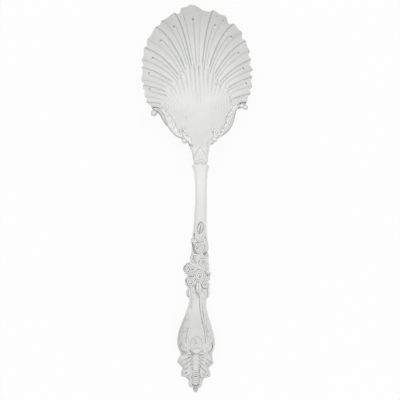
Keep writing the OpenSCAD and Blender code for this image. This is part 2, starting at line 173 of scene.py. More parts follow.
def linear(code: str) -> tuple[float, float, float, float]:
    """Turns an sRGB hex colour into a linear one.

    Args:
        code: Six hex digits after a hash sign.

    Returns:
        Red, green, blue and a full alpha.
    """
    shares = [int(code[k : k + 2], 16) / 255 for k in (1, 3, 5)]
    red, green, blue = (s / 12.92 if s <= 0.04045 else ((s + 0.055) / 1.055) ** 2.4 for s in shares)
    return red, green, blue, 1.0


def add(
    tree: bpy.types.NodeTree, kind: str, links: dict | None = None, **settings: str | bool
) -> bpy.types.Node:
    """Adds a node to a tree.

    Args:
        tree: The tree that gets the node.
        kind: The node's type name.
        links: Input sockets by name or place, each with a value or the socket that feeds it.
        settings: Values of the node's own properties.

    Returns:
        The new node.
    """
    node = tree.nodes.new(kind)
    for key, value in settings.items():
        setattr(node, key, value)
    for key, value in (links or {}).items():
        if isinstance(value, Socket):
            tree.links.new(value, node.inputs[key])
        else:
            node.inputs[key].default_value = value
    return node


def cleared(owner: Material | bpy.types.World) -> bpy.types.NodeTree:
    """Empties the node tree of a new material or world.

    Args:
        owner: The material or world.

    Returns:
        Its tree, without a node.
    """
    owner.use_nodes = True
    owner.node_tree.nodes.clear()
    return owner.node_tree


@dataclass
class Patch:
    """Points in millimetres with their faces and marks, such as each point's tarnish and painted shade."""

    points: Array
    faces: Faces
    marks: dict[str, Array] = field(default_factory=dict)

    @staticmethod
    def join(patches: Iterable["Patch"]) -> "Patch":
        """Puts patches side by side in one.

        Args:
            patches: The patches, each with its own marks.

        Returns:
            One patch. A mark that a patch lacks is 0 there.
        """
        several = list(patches)
        starts = np.cumsum([0] + [len(p.points) for p in several])
        faces = [tuple(i + int(start) for i in face) for p, start in zip(several, starts) for face in p.faces]
        names = {name for p in several for name in p.marks}
        blank = [np.zeros(len(p.points)) for p in several]
        marks = {
            name: np.concatenate([p.marks.get(name, zeros) for p, zeros in zip(several, blank)])
            for name in names
        }
        return Patch(np.concatenate([p.points for p in several]), faces, marks)

    def raw(self, name: str) -> bpy.types.Mesh:
        """Makes a mesh in metres: the faces, or without faces a wire through the points.

        Args:
            name: Name of the mesh.

        Returns:
            The mesh, with one point attribute for each mark.
        """
        mesh = bpy.data.meshes.new(name)
        wire = [] if self.faces else [(k, k + 1) for k in range(len(self.points) - 1)]
        mesh.from_pydata((self.points * MM).tolist(), wire, self.faces)
        for mark, values in self.marks.items():
            mesh.attributes.new(mark, "FLOAT", "POINT").data.foreach_set("value", values.astype(np.float32))
        return mesh

    def mesh(self, name: str) -> bpy.types.Mesh:
        """Makes a smooth mesh in metres with its faces turned outwards.

        Args:
            name: Name of the mesh.

        Returns:
            The mesh, with one point attribute for each mark.
        """
        mesh = self.raw(name)
        shape = bmesh.new()
        shape.from_mesh(mesh)
        bmesh.ops.recalc_face_normals(shape, faces=shape.faces)
        shape.to_mesh(mesh)
        shape.free()
        mesh.shade_smooth()
        mesh.set_sharp_from_angle(angle=SHARP_ANGLE)
        return mesh

    def piece(self, name: str, material: Material) -> bpy.types.Object:
        """Makes an object of the scene at the origin.

        Args:
            name: Name of the object.
            material: Its finish.

        Returns:
            The object.
        """
        piece = bpy.data.objects.new(name, self.mesh(name))
        piece.data.materials.append(material)
        bpy.context.scene.collection.objects.link(piece)
        return piece


def read_patch(mesh: bpy.types.Mesh) -> Patch:
    """Reads a mesh back as a patch.

    Args:
        mesh: A mesh in metres.

    Returns:
        Its points in millimetres, its faces, and its mark of tarnish and painted shade where it has one.
    """
    points = np.empty(len(mesh.vertices) * 3, np.float32)
    mesh.vertices.foreach_get("co", points)
    marks = {}
    if "patina" in mesh.attributes:
        values = np.empty(len(mesh.vertices), np.float32)
        mesh.attributes["patina"].data.foreach_get("value", values)
        marks["patina"] = values
    return Patch(points.reshape(-1, 3) / MM, [tuple(p.vertices) for p in mesh.polygons], marks)


def quads(*grids: Array) -> Faces:
    """Makes four-sided faces, whose corners stand at the same place in four grids of point numbers."""
    return [tuple(face) for face in np.stack(grids, -1).reshape(-1, 4).tolist()]


def sheet(top: Array, base: Array, marks: dict[str, Array] | None = None) -> Patch:
    """Closes the space between two grids of points.

    Args:
        top: Upper grid, as rows of points.
        base: Lower grid with as many rows. It may have fewer points in a row.
        marks: Marks of the upper grid. On the lower one they are 0.

    Returns:
        The closed patch, with one flat face over the first rows and one over the last.
    """
    rows, wide = top.shape[:2]
    narrow = base.shape[1]
    shift = rows * wide
    upper = np.arange(shift).reshape(rows, wide)
    lower = np.arange(rows * narrow).reshape(rows, narrow) + shift
    faces: Faces = []
    for grid in (upper, lower[:, ::-1]):
        faces += quads(grid[:-1, :-1], grid[:-1, 1:], grid[1:, 1:], grid[1:, :-1])
    for one, other in ((upper[:, 0], lower[:, 0]), (lower[:, -1], upper[:, -1])):
        faces += quads(one[:-1], one[1:], other[1:], other[:-1])
    for row in (0, rows - 1):
        faces.append(tuple(upper[row].tolist() + lower[row, ::-1].tolist()))
    below = np.zeros(rows * narrow)
    all_marks = {name: np.concatenate([values.reshape(-1), below]) for name, values in (marks or {}).items()}
    return Patch(np.concatenate([top.reshape(-1, 3), base.reshape(-1, 3)]), faces, all_marks)


def tube(rings: Array, marks: dict[str, Array] | None = None) -> Patch:
    """Closes a skin over rings of points, with a flat face at either end.

    Args:
        rings: The rings, each with as many points.
        marks: Marks of those points.

    Returns:
        The closed patch.
    """
    count, around = rings.shape[:2]
    grid = np.arange(count * around).reshape(count, around)
    turned = np.roll(grid, -1, axis=1)
    faces = quads(grid[:-1], turned[:-1], turned[1:], grid[1:])
    faces += [tuple(grid[0].tolist()), tuple(grid[-1, ::-1].tolist())]
    all_marks = {name: values.reshape(-1) for name, values in (marks or {}).items()}
    return Patch(rings.reshape(-1, 3), faces, all_marks)


class Shaper:
    """A Geometry Nodes tree with named inputs that turns a patch into a finished one."""

    def __init__(self, name: str, **sizes: float) -> None:
        """Starts the tree.

        Args:
            name: Name of the tree.
            sizes: Named inputs with their values. A whole number makes an input for a count.
        """
        self.tree = bpy.data.node_groups.new(name, "GeometryNodeTree")
        self.sizes = sizes
        face = self.tree.interface
        face.new_socket("Geometry", in_out="OUTPUT", socket_type="NodeSocketGeometry")
        face.new_socket("Geometry", in_out="INPUT", socket_type="NodeSocketGeometry")
        face.new_socket("Material", in_out="INPUT", socket_type="NodeSocketMaterial")
        for size, value in sizes.items():
            kind = "NodeSocketInt" if isinstance(value, int) else "NodeSocketFloat"
            face.new_socket(size, in_out="INPUT", socket_type=kind)
        self.given = add(self.tree, "NodeGroupInput").outputs

    def math(self, operation: str, *values: Socket | float) -> Socket:
        """Adds one sum, by Blender's name of it, and gives the result's socket."""
        return add(self.tree, "ShaderNodeMath", dict(enumerate(values)), operation=operation).outputs[0]

    def mark(self, name: str) -> Socket:
        """Reads a mark of the points."""
        return add(self.tree, "GeometryNodeInputNamedAttribute", {"Name": name}).outputs[0]

    def ease(self, value: Socket, *limits: Socket | float) -> Socket:
        """Eases a value from one range to another.

        Args:
            value: The value's socket.
            limits: The two ends of its range, and the results there.

        Returns:
            The eased value's socket.
        """
        names = ("From Min", "From Max", "To Min", "To Max")
        links = {"Value": value, **dict(zip(names, limits))}
        return add(self.tree, "ShaderNodeMapRange", links, interpolation_type="SMOOTHSTEP").outputs[0]

    def strike(self, height: Socket, tarnish: Socket) -> None:
        """Ends a tree of relief: the points rise, and their tarnish and painted shade are stored.

        Args:
            height: How far each point rises, in millimetres.
            tarnish: How dark it is with tarnish and painted shade, which becomes the mark that carries both.
        """
        offset = add(self.tree, "ShaderNodeCombineXYZ", {"Z": self.math("MULTIPLY", height, MM)}).outputs[0]
        links = {"Geometry": self.given["Geometry"], "Offset": offset}
        moved = add(self.tree, "GeometryNodeSetPosition", links).outputs[0]
        links = {"Geometry": moved, "Name": "patina", "Value": tarnish}
        stored = add(self.tree, "GeometryNodeStoreNamedAttribute", links, data_type="FLOAT", domain="POINT")
        self.finish(stored.outputs[0])

    def finish(self, geometry: Socket) -> None:
        """Ends the tree: instances become real and everything gets the material.

        Args:
            geometry: What the tree has made.
        """
        real = add(self.tree, "GeometryNodeRealizeInstances", {"Geometry": geometry}).outputs[0]
        links = {"Geometry": real, "Material": self.given["Material"]}
        dressed = add(self.tree, "GeometryNodeSetMaterial", links).outputs[0]
        add(self.tree, "NodeGroupOutput", {"Geometry": dressed})

    def shape(self, patch: Patch, material: Material, **changes: float) -> Patch:
        """Runs the tree on a patch.

        Args:
            patch: What the tree starts from.
            material: The material that it sets.
            changes: Inputs that differ from the tree's own values for this run.

        Returns:
            The finished patch.
        """
        name = self.tree.name
        carrier = bpy.data.objects.new(name, patch.mesh(name) if patch.faces else patch.raw(name))
        bpy.context.scene.collection.objects.link(carrier)
        modifier = carrier.modifiers.new(name, "NODES")
        modifier.node_group = self.tree
        values = {**self.sizes, **changes, "Material": material}
        for item in self.tree.interface.items_tree:
            if item.in_out == "INPUT" and item.name in values:
                modifier[item.identifier] = values[item.name]
        graph = bpy.context.evaluated_depsgraph_get()
        mesh = bpy.data.meshes.new_from_object(carrier.evaluated_get(graph), depsgraph=graph)
        carrier.modifiers.remove(modifier)
        made = read_patch(mesh)
        bpy.data.objects.remove(carrier)
        bpy.data.meshes.remove(mesh)
        return made


@dataclass(frozen=True)
class SilverPlate:
    """Silver plate over nickel silver, with a fine satin from blasting.

    The eye sees a pale, even grey with wide, soft reflections, and darker tarnish that polishing
    has left in the creases. The same dark colour also paints shade where a piece's mark asks for it.
    """

    name: str
    colour: str = "#E6E7E5"
    # Dark colour of the tarnish, which also paints the shade that the marks carry
    tarnish: str = "#4A4742"
    roughness: float = 0.4
    polish: float = 0.1
    satin_size: float = 0.45
    satin_depth: float = 0.006
    cloud_size: float = 9.0
    tarnish_share: float = 0.85
    tarnish_roughness: float = 0.25

    def material(self) -> Material:
        """Builds the finish.

        Returns:
            The material, which reads Object coordinates and the mark of tarnish and painted shade.
        """
        material = bpy.data.materials.new(self.name)
        tree = cleared(material)
        place = add(tree, "ShaderNodeTexCoord").outputs["Object"]
        # The real satin is finer than a pixel, so it is drawn as coarse as it needs to show
        links = {"Vector": place, "Scale": 1 / (self.satin_size * MM), "Detail": 3.0}
        satin = add(tree, "ShaderNodeTexNoise", links).outputs["Fac"]
        links = {"Vector": place, "Scale": 1 / (self.cloud_size * MM), "Detail": 2.0}
        cloud = add(tree, "ShaderNodeTexNoise", links).outputs["Fac"]
        # The mark mixes in the dark colour: tarnish in the hollows, and painted shade where a piece asks for
        # it
        depth = add(tree, "ShaderNodeAttribute", attribute_name="patina").outputs["Fac"]
        links = {"Value": satin, "From Min": 0.3, "From Max": 0.7, "To Min": 0.75, "To Max": 1.0}
        worn = add(tree, "ShaderNodeMapRange", links).outputs[0]
        links = {0: depth, 1: worn}
        dark = add(tree, "ShaderNodeMath", links, operation="MULTIPLY", use_clamp=True).outputs[0]
        links = {0: dark, 1: self.tarnish_share}
        share = add(tree, "ShaderNodeMath", links, operation="MULTIPLY").outputs[0]
        # Thin tarnish lies over the whole plate in clouds
        links = {"Value": cloud, "From Min": 0.35, "From Max": 0.7, "To Min": 0.0, "To Max": 0.05}
        veil = add(tree, "ShaderNodeMapRange", links).outputs[0]
        links = {0: share, 1: veil}
        both = add(tree, "ShaderNodeMath", links, operation="ADD", use_clamp=True).outputs[0]
        links = {0: both, 6: linear(self.colour), 7: linear(self.tarnish)}
        colour = add(tree, "ShaderNodeMix", links, data_type="RGBA").outputs[2]
        low, high = self.roughness - self.polish / 2, self.roughness + self.polish / 2
        links = {"Value": satin, "From Min": 0.25, "From Max": 0.75, "To Min": low, "To Max": high}
        rough = add(tree, "ShaderNodeMapRange", links).outputs[0]
        links = {0: dark, 1: self.tarnish_roughness, 2: rough}
        rougher = add(tree, "ShaderNodeMath", links, operation="MULTIPLY_ADD").outputs[0]
        links = {"Height": satin, "Distance": self.satin_depth * MM, "Strength": 1.0}
        bump = add(tree, "ShaderNodeBump", links).outputs[0]
        links = {"Base Color": colour, "Roughness": rougher, "Normal": bump, "Metallic": 1.0}
        shader = add(tree, "ShaderNodeBsdfPrincipled", links).outputs[0]
        add(tree, "ShaderNodeOutputMaterial", {"Surface": shader})
        return material


@dataclass(frozen=True)
class HandleCement:
    """Set filling cement, a chalky mass poured into the hollow handle: dull, warm grey and grainy."""

    name: str = "handle_cement"
    colour: str = "#9C9284"
    grit: str = "#7E7568"
    grit_size: float = 0.6
    grit_depth: float = 0.05
    roughness: float = 0.9

    def material(self) -> Material:
        """Builds the finish.

        Returns:
            The material.
        """
        material = bpy.data.materials.new(self.name)
        tree = cleared(material)
        place = add(tree, "ShaderNodeTexCoord").outputs["Object"]
        links = {"Vector": place, "Scale": 1 / (self.grit_size * MM), "Detail": 4.0}
        grit = add(tree, "ShaderNodeTexNoise", links).outputs["Fac"]
        links = {0: grit, 6: linear(self.colour), 7: linear(self.grit)}
        colour = add(tree, "ShaderNodeMix", links, data_type="RGBA").outputs[2]
        bump = add(tree, "ShaderNodeBump", {"Height": grit, "Distance": self.grit_depth * MM}).outputs[0]
        links = {"Base Color": colour, "Roughness": self.roughness, "Normal": bump}
        shader = add(tree, "ShaderNodeBsdfPrincipled", links).outputs[0]
        add(tree, "ShaderNodeOutputMaterial", {"Surface": shader})
        return material


@dataclass(frozen=True)
class DishForm:
    """The dish that the bowl, its border and its ornaments follow.

    r runs to the right across the bowl and t from its widest line towards its tip.
    """

    width: float = 47.4
    front: float = 29.3
    back: float = 30.8
    depth: float = 8.6
    sheet: float = 1.1
    worn: float = 0.2
    lean: float = math.radians(3.7)
    neck_length: float = 6.9
    sweep: float = math.radians(121)
    dish_back_share: float = 0.91
    rim_back_share: float = 0.83
    root_share: float = 0.69
    bend_shares: Pair = (0.3, 0.83)

    @property
    def root(self) -> float:
        """Place along t from which the flutes spread."""
        return -self.root_share * self.back

    def middle(self) -> Array:
        """Finds the bowl's middle from the collar of the frame.

        Returns:
            Its x and y.
        """
        low, high = corners("collar")
        across = (low[0] + high[0]) / 2 - self.back * math.sin(self.lean)
        return np.array([across, high[1] + self.neck_length + self.back * math.cos(self.lean)])

    def plan(self, places: Array) -> Array:
        """Turns x and y of the frame into r and t."""
        return rotated(places - self.middle(), -self.lean)

    def place(self, plan: Array) -> Array:
        """Turns r and t into x and y of the frame."""
        return rotated(plan, self.lean) + self.middle()

    def height(self, plan: Array) -> Array:
        """Gives the height of the plain dish.

        Args:
            plan: Pairs of r and t.

        Returns:
            The height of the upper face at each.
        """
        r, t = plan[..., 0], plan[..., 1]
        reach = np.where(t > 0, self.front, self.back * self.dish_back_share)
        return self.sheet - self.worn + self.depth * ((r / (self.width / 2)) ** 2 + (t / reach) ** 2)

    def line(self, edge: Array, share: Array) -> Array:
        """Gives points on the lines that run from the root to the rim.

        Args:
            edge: The lines' ends at the rim, as r and t.
            share: Shares of the way along them.

        Returns:
            The points, as r and t.
        """
        bend = 2 * share * (1 - share)
        across, along = self.bend_shares
        reach = edge - (0.0, self.root)
        r = (bend * across + share**2) * reach[..., 0]
        t = self.root + (bend * along + share**2) * reach[..., 1]
        return np.stack([r, t], -1)

    def rise(self, places: Array) -> Array:
        """Gives the height of the plain dish over x and y of the frame."""
        return self.height(self.plan(places))


@dataclass(frozen=True)
class Flute:
    """One flute of the shell, or a stretch of its lower edge.

    start and end are the rim's corners as r and t, bulge is how far the rim swells between them,
    wide tells a broad flute from a narrow one, and dimple is the place of its struck dot.
    """

    start: Pair
    end: Pair
    bulge: float
    wide: bool
    dimple: Pair | None = None


@dataclass
class ShellBowl:
    """The struck sheet of the bowl: a scallop shell with a smooth heel."""

    form: DishForm
    # Corners of the rim from the tip down each side, in pixels: a broad flute ends and the next begins
    left_corners: Pixels = (
        (180.6, 9.4), (174.6, 13.6), (161.8, 21.2), (156.6, 28), (147.7, 40.6), (144.7, 48.2),
        (142.2, 60.6), (141.9, 67.6), (142.2, 80.4), (144, 85.4), (145.5, 97), (147.4, 101.4),
        (152, 107.5),
    )
    right_corners: Pixels = (
        (202.2, 11), (213.4, 10.6), (226.8, 16.8), (232.6, 25), (242.2, 33), (245.6, 41), (249.4, 51.8),
        (251.2, 59.6), (253.6, 70.2), (252.6, 76.6), (252.6, 86.4), (251, 93.6), (246.2, 103),
    )
    middle_dimple: Pair = (193.0, 19.6)
    left_dimples: Pixels = ((173.9, 27.2), (160.8, 41.2), (153, 58.4), (149.4, 73.8), (150, 89.4))
    right_dimples: Pixels = ((215, 25.8), (230.8, 37.2), (238.2, 53.4), (243, 69), (246, 84))
    # Small pits that the blasting has left
    pits: Pixels = (
        (190.4, 13.3), (184.5, 19.3), (187.4, 26.6), (172.4, 19.6), (154.6, 32.4), (216.6, 16.4),
        (210.2, 18.6), (223.4, 20.6), (176.6, 56.4), (233.4, 44.4), (227.4, 31.4), (219.4, 28.8),
        (199.3, 15.8), (199.8, 19.4), (191.4, 64.6), (189.6, 67.4), (213.6, 58), (248.6, 52.4),
        (188.4, 105.4), (186.6, 117.6), (166, 29.4), (181.6, 71.6), (181, 75), (182.4, 78.6), (180.2, 78),
        (175.8, 86), (165.6, 95.4), (162, 100.6), (166.8, 109.4), (229.2, 97.2), (230.6, 99.4), (231, 102),
        (220.2, 86.4), (206.4, 69.2), (200, 66),
    )
    # Bright lumps on the step between the outer flutes and the inner ribs
    lumps: Pixels = (
        (226.4, 87.4), (229.8, 92.4), (231.6, 96.6), (215.4, 83), (219.6, 83.8), (204.6, 66.8),
        (197.6, 66.4), (185.4, 67.4), (172, 88.6), (163.6, 103.8), (165.4, 111.6),
    )
    # The worn outline of the fluted rim, clockwise in pixels, and the place that it is measured from
    rim: Pixels = (
        (151, 108.7), (149.8, 105.9), (146.1, 102.2), (146.8, 98.6), (144.8, 97.3), (144.5, 95.3),
        (145, 90), (144, 89.8), (142.7, 88.1), (143.9, 83), (142, 82.3), (141.6, 81.3), (141.3, 77.9),
        (142.8, 73.1), (141.5, 68.2), (143.3, 65), (141.5, 60), (143.6, 56), (143.8, 48.3), (146.5, 46.3),
        (147.1, 39.9), (150.6, 35.9), (154.9, 27.9), (157, 26.1), (159.4, 25.7), (161.4, 20.7),
        (165.3, 19.5), (174, 12.7), (177, 14.2), (178.6, 13.9), (179.9, 12.4), (180.7, 8.4), (186.6, 7.2),
        (188.8, 5.5), (191.2, 4.9), (194.3, 5.3), (200.2, 8.5), (201.8, 10.2), (206.2, 11.4),
        (210.2, 11.6), (212.2, 10.4), (214, 10.4), (219.9, 14.6), (224.3, 15.8), (226.4, 17.8),
        (228.3, 23.4), (230.1, 24.4), (232.5, 23.8), (234.3, 24.1), (237.9, 29.2), (242.1, 32.5),
        (241.7, 39), (245.7, 40.5), (247.1, 46.8), (249.9, 51.1), (248.3, 54.9), (248.6, 56.3),
        (251.2, 59), (250.1, 62.3), (249.9, 65.7), (253, 69.6), (249.7, 73.2), (250.4, 75), (252.3, 76),
        (252.2, 77.9), (250.6, 80.1), (252.2, 87.2), (249.4, 89.9), (250.6, 92.8), (249.7, 95.1),
        (247, 96.1), (248.1, 97.1), (246.3, 103.9),
    )
    rim_centre: Pair = (197.3, 75.0)
    rim_blend: float = 4.0
    turn_slack: float = 0.003
    lower_shares: Pixels = (
        (0.74, 0.43), (0.67, 0.51), (0.63, 0.6), (0.58, 0.715), (0.465, 0.83), (0.3, 0.9), (0.205, 0.965),
    )
    edge_points: int = 64
    neck_points: int = 11
    border_width: float = 3.0
    border_shares: tuple[float, ...] = (0.25, 0.7, 1.0, 1.0, 1.0, 0.9, 0.35)
    neck_width: float = 7.2
    middle_bulge: float = 2.1
    wide_bulge: float = -0.1
    left_notch: float = 0.5
    right_notch: float = 0.75
    flute_height: float = 0.5
    narrow_share: float = 0.55
    # Where the outer flutes end, as a share of the way from root to rim, over the share of the rim
    arc_shares: Pixels = (
        (-1.1, 0.84), (-0.93, 0.77), (-0.84, 0.69), (-0.77, 0.63), (-0.6, 0.49), (-0.47, 0.42),
        (-0.22, 0.37), (0, 0.37), (0.21, 0.37), (0.39, 0.4), (0.55, 0.44), (0.67, 0.5), (0.79, 0.62),
        (0.91, 0.71), (1.1, 0.78),
    )
    arc_scallop_share: float = 0.035
    soft_crease: Pair = (0.2, 0.5)
    rib_pitch: float = 1.52
    rib_shift: float = 0.15
    rib_level: float = -8.9
    rib_limit: float = 11.0
    # How far above a dimple's middle its dark spot of painted shade lies, on the wall that faces away from
    # the light
    shade_spot_rise: float = 0.3
    # Painted shade: the bowl darkens towards its tip and towards its heel
    tip_shade: float = 0.11
    heel_shade: float = 0.075
    shade_from: float = 6.0
    shade_over: float = 22.0
    heel_shade_over: float = 8.0
    rib_spread: Pair = (0.02, 0.0003)
    rib_lengths: Pair = (19.0, 11.0)
    rings: int = 118
    under_rings: int = 34
    wide_columns: int = 24
    narrow_columns: int = 10
    # Share of the columns' places that follows a sine, which crowds them at a flute's edges
    column_bend: float = 0.45

    def flutes(self) -> list[Flute]:
        """Lists the flutes clockwise from the tip's middle flute round to it again.

        Returns:
            The flutes of the right side, then those of the left side, without the lower edge.
        """
        right = self.form.plan(photo(self.right_corners))
        left = self.form.plan(photo(self.left_corners))
        dimples = {1: self.right_dimples, -1: self.left_dimples}
        sides = []
        for side, places in ((1, right), (-1, left)):
            row = []
            for k in range(len(places) - 1):
                wide = k % 2 == 1
                spot = dimples[side][k // 2] if wide and k // 2 < len(dimples[side]) else None
                ends = (tuple(places[k]), tuple(places[k + 1]))
                bulge = self.wide_bulge if wide else -(self.right_notch if side > 0 else self.left_notch)
                dimple = tuple(self.form.plan(photo(spot))) if spot else None
                row.append(Flute(*(ends if side > 0 else ends[::-1]), bulge, wide, dimple))
            sides.append(row if side > 0 else row[::-1])
        dimple = tuple(self.form.plan(photo(self.middle_dimple)))
        middle = Flute(tuple(left[0]), tuple(right[0]), self.middle_bulge, True, dimple)
        return [middle, *sides[0], *sides[1]]

    def edge(self, flute: Flute, across: Array) -> Array:
        """Gives the rim of one flute.

        Args:
            flute: The flute.
            across: Places from -1 at its start to 1 at its end.

        Returns:
            The rim's points as r and t.
        """
        start, end = np.array(flute.start), np.array(flute.end)
        chord = end - start
        out = np.array([-chord[1], chord[0]]) / np.linalg.norm(chord)
        return start + chord * (across[:, None] + 1) / 2 + out * flute.bulge * (1 - across[:, None] ** 2)

    def lower_edge(self, side: int) -> tuple[Array, Array]:
        """Gives the lower edge of one side from the last flute to the neck.

        Args:
            side: 1 for the right side, -1 for the left one.

        Returns:
            The points as r and t, and the share of the border's width there.
        """
        last = self.form.plan(photo([(self.right_corners if side > 0 else self.left_corners)[-1]]))[0]
        shares = np.array(self.lower_shares)
        given = np.stack([side * shares[:, 0] * self.form.width / 2, -shares[:, 1] * self.form.back], -1)
        neck = (side * self.neck_width / 2, -self.form.back)
        points = np.vstack([last, given, neck])
        widths = np.array([0.0, *self.border_shares, 0.0])
        curve = spline(np.column_stack([points, widths]), self.edge_points)
        return curve[:, :2], np.clip(curve[:, 2], 0, 1)

    def patch(self, material: Material) -> Patch:
        """Builds the closed bowl with its relief."""
        return self.relief().shape(self.plain_sheet(), material)

    def plain_sheet(self) -> Patch:
        """Builds the smooth sheet with the marks that its relief is shaped by.

        Returns:
            The closed sheet.
        """
        form = self.form
        bend = np.sin(np.linspace(-math.pi / 2, math.pi / 2, self.wide_columns + 1))
        even = np.linspace(-1, 1, self.wide_columns + 1)
        wide_across = (self.column_bend * bend + (1 - self.column_bend) * squared(even, 1.25))[:-1]
        narrow_across = np.linspace(-1, 1, self.narrow_columns + 1)[:-1]
        # For each flute: edge, crown, middle groove, groove's end, border's width, span and crispness
        parts: list[Array] = []
        flutes = self.flutes()
        half = len(flutes) // 2 + 1
        order = [*flutes[:half], None, *flutes[half:]]
        start = 0
        for flute in order:
            if flute is None:
                right, right_widths = self.lower_edge(1)
                left, left_widths = self.lower_edge(-1)
                spread = np.linspace(1, -1, self.neck_points + 2)[1:-1, None]
                neck = spread * (self.neck_width / 2, 0) - (0, form.back)
                edge = np.vstack([right, neck, left[::-1][:-1]])
                width = np.concatenate([right_widths, np.zeros(self.neck_points), left_widths[::-1][:-1]])
                crown, groove, stop = np.zeros(len(edge)), np.full(len(edge), -1), np.zeros(len(edge))
            else:
                across = wide_across if flute.wide else narrow_across
                edge = self.trimmed(self.edge(flute, across))
                crown = (1 if flute.wide else -self.narrow_share) * (1 - across**2)
                width = np.zeros(len(edge))
                middle = start + int(np.argmin(np.abs(across)))
                groove = np.full(len(edge), middle if flute.dimple else -1)
                stop = np.full(len(edge), self.along(flute))
            ends = (start, start + len(edge), *(self.crisp(flute) if flute else (False, False)))
            parts.append(np.column_stack([edge, crown, groove, stop, width, np.tile(ends, (len(edge), 1))]))
            start += len(edge)
        table = np.vstack(parts)
        edge = self.unfolded(table[:, :2])
        crown, groove, stop, width = table.T[2:6]
        reach = 1 - self.border_width * width / np.linalg.norm(edge - (0, form.root), axis=1)
        spans, crisp = table[:, 6:8].astype(int), table[:, 8:].astype(bool)
        return self.marked_sheet(edge, reach, crown, groove.astype(int), stop, spans, crisp)

    def unfolded(self, edge: Array) -> Array:
        """Keeps the lines from the root to the rim in order where the rim turns back at the borders.

        Args:
            edge: The whole rim as r and t, clockwise.

        Returns:
            The rim whose points lie ever further clockwise round the root.
        """
        away = edge - (0.0, self.form.root)
        turns = np.unwrap(np.arctan2(away[:, 0], away[:, 1]))
        forward = np.maximum.accumulate(turns)
        backward = np.minimum.accumulate(turns[::-1])[::-1]
        kept = np.where(turns < math.pi, forward, backward) + np.linspace(0, self.turn_slack, len(turns))
        ways = np.stack([np.sin(kept), np.cos(kept)], -1)
        return ways * np.linalg.norm(away, axis=1)[:, None] + (0.0, self.form.root)

    def trimmed(self, edge: Array) -> Array:
        """Brings the rim of a flute to the worn outline.

        Args:
            edge: Points of the rim as r and t.

        Returns:
            The worn rim.
        """
        centre = self.form.plan(photo(self.rim_centre))
        away, given = edge - centre, self.form.plan(photo(self.rim)) - centre
        turns, table = (np.degrees(np.arctan2(gap[:, 0], gap[:, 1])) for gap in (away, given))
        radius = np.interp(turns, table, np.linalg.norm(given, axis=1))
        share = smooth((turns - table[0]) / self.rim_blend) * smooth((table[-1] - turns) / self.rim_blend)
        return edge + away * ((radius / np.linalg.norm(away, axis=1) - 1) * share)[:, None]

    @staticmethod
    def crisp(flute: Flute) -> tuple[bool, bool]:
        """Tells where a flute's creases are crisp, which is at the upper corner of a broad flute.

        Args:
            flute: The flute.

        Returns:
            Whether the crease is crisp at the flute's start and at its end.
        """
        middle = (flute.start[0] + flute.end[0]) / 2
        if abs(middle) < 2:
            return False, False
        right = middle > 0
        return right == flute.wide, right != flute.wide

    def along(self, flute: Flute) -> float:
        """Finds how far along its line a flute's dimple lies.

        Args:
            flute: The flute.

        Returns:
            The share of the way from the root to the rim, or 0 without a dimple.
        """
        if flute.dimple is None:
            return 0.0
        shares = np.linspace(0.3, 1, 141)
        line = self.form.line(self.edge(flute, np.zeros(1)), shares)
        return float(shares[np.argmin(np.linalg.norm(line - flute.dimple, axis=1))])

    def marked_sheet(
        self, edge: Array, reach: Array, crown: Array, groove: Array, stop: Array, spans: Array, crisp: Array
    ) -> Patch:
        """Lays rings of points from the root to the edge and marks them.

        Args:
            edge: The rim as r and t.
            reach: Share of each line at which the sheet ends.
            crown: Rise of the flute at each column.
            groove: Column of the flute's middle groove, or -1.
            stop: Share of the line at which that groove ends.
            spans: First column of the flute at each column and of the next flute.
            crisp: Whether the crease at either end of the flute is crisp.

        Returns:
            The closed sheet.
        """
        form = self.form
        shares = np.concatenate([np.linspace(0.02, 0.3, 16)[:-1], np.linspace(0.3, 1, self.rings - 15)])
        along = shares[:, None] * reach[None, :]
        plan = form.line(edge[None, :, :], along)
        steps = np.linalg.norm(np.diff(np.concatenate([plan, plan[:, :1]], axis=1), axis=1), axis=2)
        length = np.concatenate([np.zeros((len(shares), 1)), np.cumsum(steps, axis=1)], axis=1)
        here = length[:, :-1]
        before, after = here - length[:, spans[:, 0]], length[:, spans[:, 1]] - here
        slack, ease = self.soft_crease
        gaps = (np.where(crisp[:, k], gap, slack + ease * gap) for k, gap in ((0, before), (1, after)))
        crease = np.minimum(*gaps)
        fluted = (crown != 0) | (groove >= 0)
        fluted |= np.roll(fluted, 1) | np.roll(fluted, -1)
        crease = np.where(fluted[None, :], crease, FAR)
        centre = np.where(groove[None, :] >= 0, np.abs(here - length[:, np.maximum(groove, 0)]), FAR)
        span_length = np.linalg.norm(edge - (0, form.root), axis=1)
        past_stop = np.maximum(0, along - stop[None, :]) * span_length[None, :]
        centre = np.where(past_stop > 0, FAR, centre)
        half_length = np.where(edge[:, 1] > 0, form.front, form.back * form.rim_back_share)
        rim = np.arctan2(edge[:, 0] / (form.width / 2), edge[:, 1] / half_length) / form.sweep
        ends = np.interp(rim, *np.transpose(self.arc_shares))
        scallop = self.arc_scallop_share * np.where(crown > 0, crown, 0.4 * crown)
        arc = (along - ends[None, :] + scallop[None, :]) * span_length[None, :]
        arc = np.where(fluted[None, :], arc, -np.abs(arc))
        ripple, pitch = self.ribs(plan)
        wide = smooth(np.abs(rim) / 0.7)
        fade = smooth(1 + arc / (self.rib_lengths[0] + (self.rib_lengths[1] - self.rib_lengths[0]) * wide))
        fade = fade * smooth((1.06 - np.abs(rim)) / 0.12) * (1 - 0.5 * smooth((np.abs(rim) - 0.55) / 0.35))
        dots = np.array([f.dimple for f in self.flutes() if f.dimple])
        spots = {
            "dimple": dots,
            # The dots mark the painted shade in each dimple
            "dot": dots + (0.0, self.shade_spot_rise),
            "pit": form.plan(photo(self.pits)),
            "lump": form.plan(photo(self.lumps)),
        }
        apart = plan[:, :, None, :]
        tip_shade = self.tip_shade * smooth((plan[..., 1] - self.shade_from) / self.shade_over)
        heel_shade = self.heel_shade * smooth((self.rib_level - plan[..., 1]) / self.heel_shade_over)
